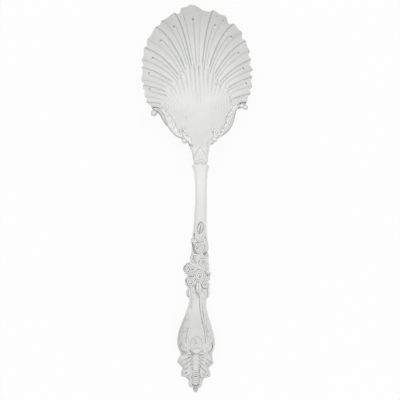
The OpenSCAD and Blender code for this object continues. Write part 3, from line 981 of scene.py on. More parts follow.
        marks = {
            "crown": np.broadcast_to(crown, along.shape),
            "crease": crease,
            "groove": centre,
            "reach": along,
            "arc": arc,
            "rib": 1 - (2 * ripple) ** 2,
            "seam": (0.5 - ripple) * pitch,
            "fade": fade,
            **{name: np.linalg.norm(apart - found, axis=3).min(2) for name, found in spots.items()},
            "shade": tip_shade + heel_shade,
            "face": np.ones(along.shape),
        }
        top = np.dstack([form.place(plan), form.height(plan)])
        under = np.linspace(0, len(shares) - 1, self.under_rings).round().astype(int)
        base = top[under].copy()
        base[..., 2] = np.maximum(0, base[..., 2] - form.sheet)
        return self.close(top, base, marks, under)

    def ribs(self, plan: Array) -> tuple[Array, Array]:
        """Finds where points lie between the inner ribs, which bend outwards ever more to the sides.

        Args:
            plan: Pairs of r and t.

        Returns:
            0 on a rib's back to 0.5 in the seam beside it, and the distance between ribs there.
        """
        straight, bent = self.rib_spread
        out = np.minimum(np.abs(plan[..., 0]), self.rib_limit)
        spread = np.maximum(0.8, 1 + (straight + bent * out**2) * (plan[..., 1] - self.rib_level))
        phase = (plan[..., 0] / spread + self.rib_shift) / self.rib_pitch
        return np.abs(phase - np.round(phase)), self.rib_pitch * spread

    def close(self, top: Array, base: Array, marks: dict[str, Array], under: Array) -> Patch:
        """Closes the two faces of the sheet along the rim and over the root.

        Args:
            top: Rings of the upper face.
            base: Rings of the lower face.
            marks: Marks of the upper face.
            under: Which rings of the upper face the lower ones lie under.

        Returns:
            The closed sheet.
        """
        columns = top.shape[1]
        faces: Faces = []
        upper = np.arange(top.shape[0] * columns).reshape(-1, columns)
        lower = np.arange(base.shape[0] * columns).reshape(-1, columns) + upper.size
        for grid, step in ((upper, -1), (lower, 1)):
            turned = np.roll(grid, step, axis=1)
            faces += quads(grid[:-1], turned[:-1], turned[1:], grid[1:])
        faces += quads(upper[-1], np.roll(upper[-1], -1), np.roll(lower[-1], -1), lower[-1])
        middle = upper.size + lower.size
        for ring, centre in ((upper[0], middle), (lower[0], middle + 1)):
            faces += [(int(a), int(b), centre) for a, b in zip(ring, np.roll(ring, -1))]
        root = np.array([0.0, self.form.root])
        middle_point = np.append(self.form.place(root), self.form.height(root))
        centres = np.stack([middle_point, middle_point - (0, 0, self.form.sheet)])
        points = np.concatenate([top.reshape(-1, 3), base.reshape(-1, 3), centres])
        joined = {}
        for name, values in marks.items():
            below = np.zeros(base.shape[:2]) if name == "face" else values[under]
            ends = [values[0].mean(), 0.0 if name == "face" else values[0].mean()]
            joined[name] = np.concatenate([values.reshape(-1), below.reshape(-1), ends])
        return Patch(points, faces, joined)

    def relief(self) -> Shaper:
        """Builds the tree that strikes the flutes into the sheet.

        Returns:
            The tree. Its sizes are in millimetres.
        """
        shaper = Shaper(
            "struck_flutes", flute_height=self.flute_height, step_height=0.16, rib_height=0.3,
            crease_depth=0.34, crease_width=0.4, groove_depth=0.24, groove_width=0.26, dimple_depth=0.6,
            dimple_width=0.66, shade_spot_darkness=-1.3, shade_spot_width=0.6, pit_depth=0.22, pit_width=0.34,
            lump_width=0.7, lump_height=0.28, seam_depth=0.14, seam_width=0.35,
        )
        size, total, ease = shaper.given, shaper.math, shaper.ease
        reach, arc, face = shaper.mark("reach"), shaper.mark("arc"), shaper.mark("face")
        swell = ease(reach, 0.3, 0.8, 0.25, 1.0)
        outer = ease(arc, -0.5, 1.3, 0.0, 1.0)
        crown = total("MULTIPLY", total("MULTIPLY", shaper.mark("crown"), swell), size["flute_height"])
        crown = total("MULTIPLY", crown, ease(arc, 0.0, 6.0, 0.3, 1.0))
        cuts = []
        for name in ("crease", "groove", "dimple", "pit", "seam"):
            full = total("MULTIPLY", size[f"{name}_depth"], -1.0)
            cuts.append(ease(shaper.mark(name), 0.0, size[f"{name}_width"], full, 0.0))
        crease, groove, dimple, pit, seam = cuts
        lump = ease(shaper.mark("lump"), 0.0, size["lump_width"], size["lump_height"], 0.0)
        lines = total("MULTIPLY", total("ADD", crease, groove), outer)
        inner = total("MULTIPLY", total("SUBTRACT", 1.0, outer), shaper.mark("fade"))
        ribs = total("MULTIPLY", shaper.mark("rib"), size["rib_height"])
        tier = total("MULTIPLY", total("ADD", ribs, seam), inner)
        lifted = total("ADD", total("MULTIPLY", crown, outer), total("MULTIPLY", outer, size["step_height"]))
        fine = total("ADD", total("ADD", lines, tier), total("ADD", total("ADD", dimple, pit), lump))
        height = total("ADD", lifted, total("MULTIPLY", fine, face))
        seams = total("MULTIPLY", total("MULTIPLY", seam, inner), 0.85)
        # Dark spots of painted shade on the upper wall of each dimple, joined by the pits' tarnish
        dots = ease(shaper.mark("dot"), 0.0, size["shade_spot_width"], size["shade_spot_darkness"], 0.0)
        spots = total("ADD", dots, total("MULTIPLY", pit, 3.4))
        depth = total("ADD", total("ADD", lines, seams), spots)
        tarnish = total("MULTIPLY", total("MULTIPLY", depth, face), -0.52)
        # The painted shade of the tip and the heel is added to the tarnish
        shaper.strike(height, total("ADD", tarnish, shaper.mark("shade")))
        return shaper


def conform(patch: Patch, place: Array, surface: Surface, sink: float = 0.0) -> Patch:
    """Sets a flat-made ornament on a curved surface.

    Args:
        patch: The ornament round the origin, with z upwards from its foot.
        place: Where its middle goes, as x and y.
        surface: Gives the height of the surface over x and y.
        sink: How far the ornament is sunk into the surface.

    Returns:
        The ornament in place.
    """
    plan = patch.points[:, :2] + place
    points = np.column_stack([plan, patch.points[:, 2] + surface(plan) - sink])
    return Patch(points, patch.faces, patch.marks)


def turned(patch: Patch, angle: float, size: float | tuple[float, float, float] = 1.0) -> Patch:
    """Turns a patch about Z and scales it.

    Args:
        patch: The patch round the origin.
        angle: Angle in degrees, counter-clockwise.
        size: One factor, or one along each axis before the turn.

    Returns:
        The turned patch.
    """
    points = patch.points * size
    plan = rotated(points[:, :2], math.radians(angle))
    return Patch(np.column_stack([plan, points[:, 2]]), patch.faces, patch.marks)


def ball(size: float, around: int = 28, foot_tarnish_and_shade: float = 0.3) -> Patch:
    """Makes a turned ball of the cast work: tarnish at its foot, and painted shade that darkens it from its
    top down.

    Args:
        size: Its diameter.
        around: Number of points round it.
        foot_tarnish_and_shade: How dark its waist is. Its underside is darker still, its top lighter.

    Returns:
        The ball round the origin.
    """
    turns = np.linspace(0, 2 * math.pi, around, endpoint=False)
    rises = np.linspace(-math.pi / 2 + 0.06, math.pi / 2 - 0.06, around // 2)
    radius = size / 2 * np.cos(rises)[:, None]
    height = np.broadcast_to((size / 2 * np.sin(rises))[:, None], (len(rises), around))
    rings = np.dstack([radius * np.cos(turns), radius * np.sin(turns), height])
    # Painted shade: darker from the top down to the foot
    patina = np.clip(foot_tarnish_and_shade - 0.9 * foot_tarnish_and_shade * np.sin(rises), 0, 0.6)[:, None]
    return tube(rings, {"patina": np.broadcast_to(patina, height.shape).copy()})


@dataclass
class Rods:
    """Round wires that follow a path: rims, stems, creases and curls."""

    material: Material
    sides: int = 10

    def __post_init__(self) -> None:
        """Builds the tree, which sweeps a circle along a line with a mark for its radius."""
        self.shaper = Shaper("wire_sweep", sides=self.sides)
        tree, given = self.shaper.tree, self.shaper.given
        curve = add(tree, "GeometryNodeMeshToCurve", {"Mesh": given["Geometry"]}).outputs[0]
        metres = self.shaper.math("MULTIPLY", self.shaper.mark("radius"), MM)
        sized = add(tree, "GeometryNodeSetCurveRadius", {"Curve": curve, "Radius": metres}).outputs[0]
        links = {"Resolution": given["sides"], "Radius": 1.0}
        circle = add(tree, "GeometryNodeCurvePrimitiveCircle", links).outputs[0]
        links = {"Curve": sized, "Profile Curve": circle, "Fill Caps": True}
        swept = add(tree, "GeometryNodeCurveToMesh", links)
        if "Scale" in swept.inputs:
            tree.links.new(add(tree, "GeometryNodeInputRadius").outputs[0], swept.inputs["Scale"])
        self.shaper.finish(swept.outputs[0])

    def along(self, path: Array, radius: float | Array, patina: float) -> Patch:
        """Sweeps one wire.

        Args:
            path: Points of its middle line.
            radius: Its radius, or one for each point.
            patina: How dark it is with tarnish and painted shade.

        Returns:
            The wire.
        """
        line = Patch(path, [], {"radius": np.broadcast_to(radius, len(path)).astype(float)})
        made = self.shaper.shape(line, self.material)
        made.marks["patina"] = np.full(len(made.points), patina)
        return made

    def laid(
        self, pixels: Pixels, surface: Surface, lift: Array | float, radius: Array, patina: float
    ) -> Patch:
        """Lays one wire on a surface.

        Args:
            pixels: What it passes, in pixels.
            surface: Gives the height of the surface over x and y.
            lift: Height of its middle line over the surface.
            radius: Its radius at even steps along it, one for each point.
            patina: How dark it is with tarnish and painted shade.

        Returns:
            The wire.
        """
        line = spline(photo(pixels), len(radius))
        return self.along(np.column_stack([line, surface(line) + lift]), radius, patina)


@dataclass
class Whorls:
    """Flowers in low relief: rings of petals that a tree strikes into a round boss."""

    material: Material
    ring_names: tuple[str, ...] = ("rim", "outer", "middle", "inner")
    around: int = 84
    rows: int = 44
    # Share of the height that the boss has before its petals are struck
    boss_share: float = 0.62
    # How far the boss reaches down under its foot
    skirt: float = 0.6
    # The direction away from the light, where the rims carry painted shade
    lee: float = math.radians(155)
    # Where the rings of petals end, for flowers of at least so many millimetres
    ring_shares: Sequence[tuple[float, tuple[float, ...]]] = (
        (4.6, (0.7, 0.34, 0.0)), (3.4, (0.56, 0.2, 0.0)), (0.0, (0.42, 0.0, 0.0)),
    )
    # Width of a line between petals, its limit as a share of the flower, and the width of a pit
    line: float = 0.36
    line_limit: float = 0.085
    pit: float = 0.4
    # Share of the darkened rim, an even dark line and painted shade, over the flower's size
    small_edges: Pixels = ((2.0, 3.4), (0.4, 1.0))

    def __post_init__(self) -> None:
        """Builds the tree that strikes the petals."""
        self.shaper = Shaper(
            "petal_rings", rim_petals=6, outer_petals=5, middle_petals=4, inner_petals=3,
            rim_share=1.08, outer_share=0.78, middle_share=0.48, inner_share=0.18, turn=0.9, step=0.12,
            line_width=0.075, line_depth=0.07, gap_width=0.16, gap_share=0.25,
            pit_width=0.42, pit_depth=0.3, tarnish=0.66,
        )
        given, total, ease = self.shaper.given, self.shaper.math, self.shaper.ease
        turn, share = self.shaper.mark("turn"), self.shaper.mark("share")
        insides, lines, waves, lips = [], [], [], []
        for k, name in enumerate(self.ring_names):
            angle = total("ADD", turn, total("MULTIPLY", given["turn"], float(k)))
            half_turns = total("MULTIPLY", angle, total("MULTIPLY", given[f"{name}_petals"], 0.5))
            wave = total("ABSOLUTE", total("COSINE", half_turns))
            lobe = total("MULTIPLY_ADD", total("POWER", wave, 0.6), 0.2, 0.8)
            past = total("SUBTRACT", share, total("MULTIPLY", given[f"{name}_share"], lobe))
            insides.append(ease(past, -0.03, 0.03, 1.0, 0.0))
            off_line = total("ABSOLUTE", total("SUBTRACT", past, 0.03))
            lines.append(ease(off_line, 0.0, given["line_width"], 1.0, 0.0))
            lips.append(ease(past, -0.26, -0.02, 0.4, 1.0))
            clear = ease(share, 0.16, 0.42, 0.0, 1.0)
            waves.append(total("MULTIPLY", ease(wave, 0.0, given["gap_width"], 1.0, 0.0), clear))
        height: Socket | float = 0.0
        dark: Socket | float = 0.0
        for k in range(len(insides)):
            shown = insides[k]
            if k + 1 < len(insides):
                shown = total("MULTIPLY", shown, total("SUBTRACT", 1.0, insides[k + 1]))
            gap = total("MULTIPLY", total("MULTIPLY", waves[k], shown), given["gap_share"])
            height = total("MULTIPLY_ADD", total("MULTIPLY", insides[k], lips[k]), given["step"], height)
            dark = total("MAXIMUM", dark, total("MAXIMUM", gap, lines[k] if k else 0.0))
        pit = ease(self.shaper.mark("pit"), 0.0, given["pit_width"], 1.0, 0.0)
        height = total("MULTIPLY_ADD", dark, total("MULTIPLY", given["line_depth"], -1.0), height)
        height = total("MULTIPLY_ADD", pit, total("MULTIPLY", given["pit_depth"], -1.0), height)
        height = total("MULTIPLY", height, self.shaper.mark("face"))
        tarnish = total("MULTIPLY", total("MAXIMUM", dark, total("MULTIPLY", pit, 1.6)), given["tarnish"])
        # The rim's darkening, with its painted shade, joins the tarnish
        self.shaper.strike(height, total("ADD", tarnish, self.shaper.mark("edge")))

    def flower(
        self, size: float, height: float, seed: int, petals: Sequence[int], pits: Array | None = None
    ) -> Patch:
        """Makes a flower.

        Args:
            size: Its diameter.
            height: Its height over its foot.
            seed: Seed of its small differences.
            petals: Number of petals of each ring, from the rim inwards.
            pits: Deep pits between the petals, as x and y from its middle.

        Returns:
            The flower round the origin.
        """
        angles = np.linspace(0, 2 * math.pi, self.around, endpoint=False)
        turn = angles + 0.16 * np.sin(angles + seed) + 0.1 * np.sin(2 * angles + 2.1 * seed)
        rows = np.concatenate([[1.0], np.linspace(1.0, 0.03, self.rows)])[:, None]
        lobed = 1 - 0.13 * (1 - np.abs(np.cos(turn * petals[0] / 2)) ** 0.6)
        radius = size / 2 * rows * lobed
        dome = self.boss_share * height * (0.5 + 0.5 * np.sqrt(np.clip(1 - rows**3.4, 0, 1)))
        dome[0] = -self.skirt
        level = np.broadcast_to(dome, radius.shape)
        rings = np.dstack([radius * np.cos(angles), radius * np.sin(angles), level])
        far = np.full(radius.shape, FAR)
        if pits is not None:
            far = np.linalg.norm(rings[:, :, None, :2] - pits, axis=3).min(2)
        # The rim is darkened: an even dark line, and painted shade that grows on the side away from the light
        edge = smooth((rows - 0.87) / 0.12) * (0.3 + 0.6 * np.clip(np.cos(angles - self.lee), 0, 1))
        marks = {
            "turn": np.broadcast_to(turn, radius.shape),
            "share": rows * (1 + 0.12 * np.cos(angles - seed) * (1 - rows)),
            "pit": far,
            "edge": edge * np.interp(size, *self.small_edges),
            "face": np.broadcast_to(np.concatenate([[0.0], np.ones(self.rows)])[:, None], radius.shape),
        }
        counts = {f"{name}_petals": count for name, count in zip(self.ring_names, petals)}
        shares = next(shares for least, shares in self.ring_shares if size >= least)
        counts |= {f"{name}_share": ring for name, ring in zip(self.ring_names[1:], shares)}
        counts |= {"line_width": min(self.line / size, self.line_limit), "pit_width": self.pit}
        boss = tube(rings, {name: values.copy() for name, values in marks.items()})
        return self.shaper.shape(boss, self.material, **counts)


@dataclass(frozen=True)
class Leaf:
    """A pointed leaf of unit length from its foot at the origin along X."""

    width: float = 0.46
    rise: float = 0.12
    fold: float = 0.045
    vein: float = 0.016
    slit: float = 0.24
    outline: float = 0.2
    shaded_outline: float = 0.3
    veins: int = 5
    rows: int = 25
    columns: int = 17

    def patch(self, angle: float = 0.0) -> Patch:
        """Builds the leaf with its midrib and side veins.

        Args:
            angle: The turn that it will get, in degrees. Its edge has painted shade on the side away from the
                light.

        Returns:
            The closed leaf. Its veins and edge are tarnished; the edge away from the light has painted shade.
        """
        s = np.linspace(0.02, 0.99, self.rows)[:, None]
        u = np.linspace(-1, 1, self.columns)[None, :]
        half = self.width / 2 * np.sin(np.pi * s**0.85) ** 0.75
        vein = 0.5 + 0.5 * np.cos(2 * np.pi * (self.veins * (s + 0.35 * np.abs(u) * half / self.width)))
        fold = np.exp(-((u / 0.14) ** 2))
        z = self.rise * (0.5 + 0.5 * np.sin(np.pi * s)) * (1 - 0.6 * u**2)
        z = z - self.fold * fold - self.vein * vein * (1 - fold)
        top = np.dstack([s + 0 * u, half * u, z])
        base = top.copy()
        base[..., 2] = -0.25
        facing = math.radians(angle) + np.sign(u) * math.pi / 2
        # Painted shade along the edge that faces away from the light
        rim = self.outline + self.shaded_outline * np.clip(np.cos(facing - Whorls.lee), 0, 1)
        middle = smooth(s / 0.15) * smooth((0.9 - s) / 0.2)
        patina = self.slit * fold * middle + 0.05 * vein + rim * np.clip(np.abs(u) - 0.84, 0, 1) / 0.16
        return sheet(top, base[:, ::2], {"patina": np.clip(patina, 0, 1)})

    def laid(self, foot: Pair, tip: Pair, surface: Surface) -> Patch:
        """Lays the leaf on a surface, a little sunk.

        Args:
            foot: Its foot in pixels.
            tip: Its tip in pixels.
            surface: Gives the height of the surface over x and y.

        Returns:
            The leaf in place.
        """
        start, end = photo(foot), photo(tip)
        way = end - start
        angle = math.degrees(math.atan2(way[1], way[0]))
        return conform(turned(self.patch(angle), angle, float(np.linalg.norm(way))), start, surface, 0.05)


class Cut(Enum):
    """How the chaser's tool leaves the metal along a stroke."""

    RIDGE = "a rounded ridge, dark along its foot"
    GROOVE = "a narrow, dark groove"
    VALLEY = "a wide, clean hollow"
    DOT = "a punched dark dot"
    LOBE = "a swelling lobe that tapers to both ends, dark along its foot"


RIDGE, GROOVE, VALLEY, DOT, LOBE = Cut


@dataclass(frozen=True)
class Stroke:
    """One stroke of chased relief: its path in pixels, its half width and its height in millimetres.

    Its darkness, as tarnish and as painted shade, is the tool's own where none is given.
    """

    cut: Cut
    path: Pixels
    half_width: float
    height: float
    patina: float | None = None


# Strokes in the order of their cutting, each as the values of a Stroke
Strokes = Sequence[tuple]


@dataclass
class Chaser:
    """Works strokes into a grid of points, one after the other."""

    foot_width: float = 0.2
    # Darkening along the foot of ridges and lobes, as tarnish and as painted shade
    foot_tarnish_and_shade: float = 0.24
    groove_patina: float = 0.4
    dot_patina: float = 0.95
    rubbed_share: float = 0.75

    def distance(self, places: Array, path: Array) -> tuple[Array, Array]:
        """Measures how far places lie from a path.

        Args:
            places: Pairs of x and y.
            path: Points of the path.

        Returns:
            The distance of each place, and its share of the way along the path.
        """
        if len(path) == 1:
            return np.linalg.norm(places - path[0], axis=-1), np.full(places.shape[:-1], 0.5)
        starts, legs = path[:-1], np.diff(path, axis=0)
        best = np.full(places.shape[:-1], np.inf)
        share = np.zeros(places.shape[:-1])
        for k, (start, leg) in enumerate(zip(starts, legs)):
            s = np.clip(((places - start) @ leg) / max(leg @ leg, 1e-9), 0, 1)
            far = np.linalg.norm(places - start - s[..., None] * leg, axis=-1)
            nearer = far < best
            best = np.where(nearer, far, best)
            share = np.where(nearer, (k + s) / len(legs), share)
        return best, share

    def work(
        self, top: Array, strokes: Strokes, patina: Array | None = None, kept: Array | float = 1.0
    ) -> tuple[Array, Array]:
        """Works strokes into the upper grid of a sheet.

        Args:
            top: The grid. Its points move straight up and down.
            strokes: The strokes, in order.
            patina: Tarnish and painted shade that are already there.
            kept: Share of the relief that stays, over the columns of the grid.

        Returns:
            The new grid and its tarnish and painted shade.
        """
        places = top[..., :2].reshape(-1, 2)
        relief = np.zeros(len(places))
        dark = np.zeros(len(places)) if patina is None else patina.reshape(-1).copy()
        for stroke in (Stroke(*values) for values in strokes):
            given = photo(stroke.path)
            path = spline(given, 6 * len(given)) if len(given) > 2 else given
            reach = stroke.half_width + 2 * self.foot_width
            near = np.all((places > path.min(0) - reach) & (places < path.max(0) + reach), axis=1)
            if not near.any():
                continue
            far, share = self.distance(places[near], path)
            half = stroke.half_width
            if stroke.cut is LOBE:
                half = half * np.clip(np.sin(np.pi * (0.08 + 0.84 * share)), 0.2, 1)
            u = far / half
            dome = np.sqrt(np.clip(1 - u**2, 0, 1))
            here, tarnish = relief[near], dark[near]
            if stroke.cut in (RIDGE, LOBE):
                covered, before = u < 1, here
                here = np.where(covered, np.maximum(here, stroke.height * dome), here)
                bare = 1 - smooth(before / (0.6 * stroke.height))
                foot = np.exp(-(((far - half) / self.foot_width) ** 2)) * bare
                if stroke.cut is LOBE:
                    foot = foot * smooth(share / 0.25)
                full = self.foot_tarnish_and_shade if stroke.patina is None else stroke.patina
                tarnish = np.where(u < 0.8, self.rubbed_share * tarnish, np.maximum(tarnish, foot * full))
                here = here - 0.15 * stroke.height * foot
            elif stroke.cut is VALLEY:
                here = here - stroke.height * smooth(1 - u)
            else:
                own = self.groove_patina if stroke.cut is GROOVE else self.dot_patina
                full = own if stroke.patina is None else stroke.patina
                here = here - stroke.height * smooth(1 - u)
                tarnish = np.maximum(tarnish, full * smooth(1 - u))
            relief[near], dark[near] = here, tarnish
        worked = top.copy()
        worked[..., 2] += relief.reshape(top.shape[:2]) * kept
        return worked, dark.reshape(top.shape[:2])


class Side(Enum):
    """The two sides of the spoon as it lies."""

    LEFT = -1
    RIGHT = 1


@dataclass(frozen=True)
class BorderPlan:
    """Where the work of one border lies, in pixels: its end, its knob, its flowers and its strokes.

    A flower's third number is its diameter in millimetres.
    """

    end: Pair
    knob: Pair
    flowers: Sequence[tuple[float, float, float]]
    strokes: Strokes


LEFT_PLAN = BorderPlan(
    (154, 113.2), (184.3, 141.2), ((184.6, 128.4, 2.2), (185.8, 132.8, 2.4), (183, 136, 1.8)),
    (
        (GROOVE, ((160.4, 113.2), (164.6, 121.6), (168.4, 129), (175, 135.4), (181, 138.8)), 0.2, 0.16),
        (LOBE, ((164.6, 107.4), (167, 112.4), (167.8, 116.2)), 0.55, 0.28),
        (LOBE, ((168.2, 114), (170.6, 118.4), (170.8, 122.4)), 0.5, 0.25),
        (LOBE, ((171.8, 120.4), (174.2, 124.2), (174, 128.4)), 0.5, 0.25),
        (LOBE, ((175.6, 125), (178.2, 128.6), (178.2, 132.4)), 0.5, 0.28),
        (DOT, ((179.6, 132),), 0.36, 0.3), (DOT, ((180.2, 134.2),), 0.34, 0.3),
        (DOT, ((166, 116.4),), 0.2, 0.12), (DOT, ((169.4, 122.8),), 0.2, 0.12),
        (DOT, ((172.6, 128.8),), 0.2, 0.12),
    ),
)
RIGHT_PLAN = BorderPlan(
    (245.2, 107.3), (214.6, 139.6), ((213.8, 129.4, 2.2), (216.8, 132.2, 3), (219.4, 135, 1.8)),
    (
        (GROOVE, ((237.6, 108), (233.4, 115), (230.2, 123.4), (226.6, 130.6), (220.6, 136)), 0.2, 0.18),
        (LOBE, ((231.4, 103.6), (230, 107.6), (226.8, 111.4)), 0.6, 0.42, 0.08),
        (LOBE, ((232.6, 109.6), (230.6, 113.4), (227, 116.4)), 0.62, 0.45, 0.08),
        (LOBE, ((230.6, 115.2), (228.4, 119.4), (224.6, 122.4)), 0.62, 0.45, 0.08),
        (LOBE, ((228.6, 120.6), (226, 125.4), (222.2, 128)), 0.62, 0.45, 0.08),
        (LOBE, ((226, 126.8), (223.4, 130.6), (220, 132.2)), 0.55, 0.4, 0.08),
        (DOT, ((226, 117.2),), 0.42, 0.3), (DOT, ((222, 125.6),), 0.38, 0.3),
        (DOT, ((229, 110.8),), 0.3, 0.2), (DOT, ((221.6, 131.6),), 0.3, 0.2),
    ),
)


@dataclass
class ScrollBorder:
    """The cast border along one lower edge of the bowl, with its ball or curl."""

    side: Side
    plan: BorderPlan
    bowl: ShellBowl
    rods: Rods
    whorls: Whorls
    height: float = 0.7
    rim_radius: float = 0.26
    rim_patina: float = 0.42
    # Height of the border's section, as a share, over the share of its width from the sheet outwards
    profile: Pixels = ((0, 0.5), (0.12, 0.95), (0.35, 0.8), (0.7, 0.62), (0.86, 0.95), (1, 0.4))
    knob_size: float = 2.5
    ball_size: float = 2.75
    curl_size: float = 2.3
    flower_height: float = 0.75
    gap: float = 0.05
    rows: int = 190
    columns: int = 30
    # The hook over the curl, a dark wire of painted shade, the curl's stem, and the dark pocket between them
    hook: Pixels = ((237.4, 105.4), (239.4, 103.6), (241.8, 102.6), (243.8, 102.4), (245.6, 103.2))
    stem: Pixels = (
        (234, 114), (235.8, 109.6), (238.4, 106.3), (241, 104.5), (243.4, 104.1), (245.4, 104.8),
    )
    web: Pixels = ((237.4, 108.4), (243.4, 107))
    # The ball's stem, the light web of metal over it, and dark wires of painted shade along their edges
    ball_stem: Pixels = (
        (154.6, 110.6), (156.8, 110.2), (159.4, 111.8), (161.7, 115), (163.6, 118.8), (166.2, 123),
    )
    ball_web: Pixels = ((152.8, 109.6), (155.4, 108.6), (158.6, 109.4), (161.6, 112.4), (163.6, 115.6))
    ball_shade: Pixels = (
        (156.4, 111.9), (158.4, 112.5), (160.4, 114.9), (162.1, 118.2), (164.4, 122), (167, 126),
    )
    web_shade: Pixels = ((152, 108.5), (154, 107.7), (156.4, 107.2), (158.4, 107.9))

    def line(self, across: float, count: int) -> Array:
        """Gives a line along the border.

        Args:
            across: 0 at the sheet's edge, 1 at the outer edge.
            count: Number of points.

        Returns:
            The line's points as r and t.
        """
        edge, width = self.bowl.lower_edge(self.side.value)
        edge, width = spline(edge[2:-4], count), spline(width[2:-4, None], count)[:, 0]
        form = self.bowl.form
        span = np.linalg.norm(edge - (0, form.root), axis=1)
        start = 1 - self.bowl.border_width * width / span + self.gap / span
        return form.line(edge, start + (1 - start) * across)

    def on_dish(self, plan: Array, lift: float | Array) -> Array:
        """Puts r and t on the dish, or at a height over it."""
        form = self.bowl.form
        return np.column_stack([form.place(plan), form.height(plan) + lift])

    def piece(self) -> Patch:
        """Builds the whole border.

        Returns:
            The border.
        """
        form = self.bowl.form
        across = np.linspace(0, 1, self.columns)
        crown = self.height * np.interp(across, *np.transpose(self.profile))
        top = np.stack([self.on_dish(self.line(a, self.rows), c) for a, c in zip(across, crown)], axis=1)
        base = np.stack([self.on_dish(self.line(a, self.rows), -form.sheet) for a in (0.0, 0.5, 1.0)], axis=1)
        base[..., 2] = np.minimum(base[..., 2], top[:, [0, self.columns // 2, -1], 2] - 0.3)
        top, patina = Chaser().work(top, self.plan.strokes)
        rim = self.on_dish(self.line(0.95, 90), self.height * 0.6)
        parts = [
            sheet(top, base, {"patina": patina}),
            self.rods.along(rim, self.rim_radius, self.rim_patina),
            self.seated(ball(self.knob_size, foot_tarnish_and_shade=0.17), self.plan.knob, 0.1),
            *(self.ball_end() if self.side is Side.LEFT else self.curl_end()),
            *self.flowers(),
        ]
        return Patch.join(parts)

    def seated(self, boss: Patch, pixel: Pair, lift: float) -> Patch:
        """Sets a round boss on the dish.

        Args:
            boss: The boss round the origin.
            pixel: Its place in pixels.
            lift: Height of its middle over the dish.

        Returns:
            The boss in place.
        """
        place = photo(pixel)
        return Patch(boss.points + (*place, float(self.bowl.form.rise(place)) + lift), boss.faces, boss.marks)

    def ball_end(self) -> list[Patch]:
        """Builds the left border's ball with its stem, the web over it and painted shade along their edges.

        Returns:
            The wires and the ball.
        """
        rise, fading = self.bowl.form.rise, np.linspace(1.0, 0.5, 30)
        made = [
            self.rods.laid(self.ball_web, rise, 0.35, fading * 0.5, 0.12),
            self.rods.laid(self.ball_stem, rise, 0.45, fading * 0.48, 0.1),
            # Dark wires of painted shade along the stem and the web
            self.rods.laid(self.ball_shade, rise, 0.2, fading * 0.36, 0.62),
            self.rods.laid(self.web_shade, rise, 0.75, fading * 0.17, 0.7),
        ]
        return [*made, self.seated(ball(self.ball_size, foot_tarnish_and_shade=0.5), self.plan.end, 0.2)]

    def curl_end(self) -> list[Patch]:
        """Builds the right border's curl with its stem, its hook and the pocket between them.

        Returns:
            The parts of the curl.
        """
        rise = self.bowl.form.rise
        web = Leaf(width=0.42, rise=0.05, slit=0.95, outline=0.95).patch()
        start, tip = photo(self.web)
        way = tip - start
        filler = turned(web, math.degrees(math.atan2(way[1], way[0])), float(np.linalg.norm(way)))
        return [
            self.rods.laid(self.stem, rise, np.linspace(0.3, 0.55, 60), np.linspace(0.3, 0.42, 60), 0.08),
            # The hook is a dark wire of painted shade
            self.rods.laid(self.hook, rise, 0.4, np.linspace(0.2, 0.26, 30), 0.8),
            conform(filler, start, rise, 0.1),
            self.seated(ball(self.curl_size, 24, 0.55), self.plan.end, 0.35),
        ]

    def flowers(self) -> list[Patch]:
        """Builds the small blossoms at the lower end.

        Returns:
            The blossoms in place.
        """
        form = self.bowl.form
        made = []
        for k, (x, y, size) in enumerate(self.plan.flowers):
            seed = 11 + k + self.side.value
            bloom = self.whorls.flower(size, self.flower_height, seed, (5, 4, 3, 2))
            made.append(conform(bloom, photo((x, y)), form.rise, -0.3))
        return made


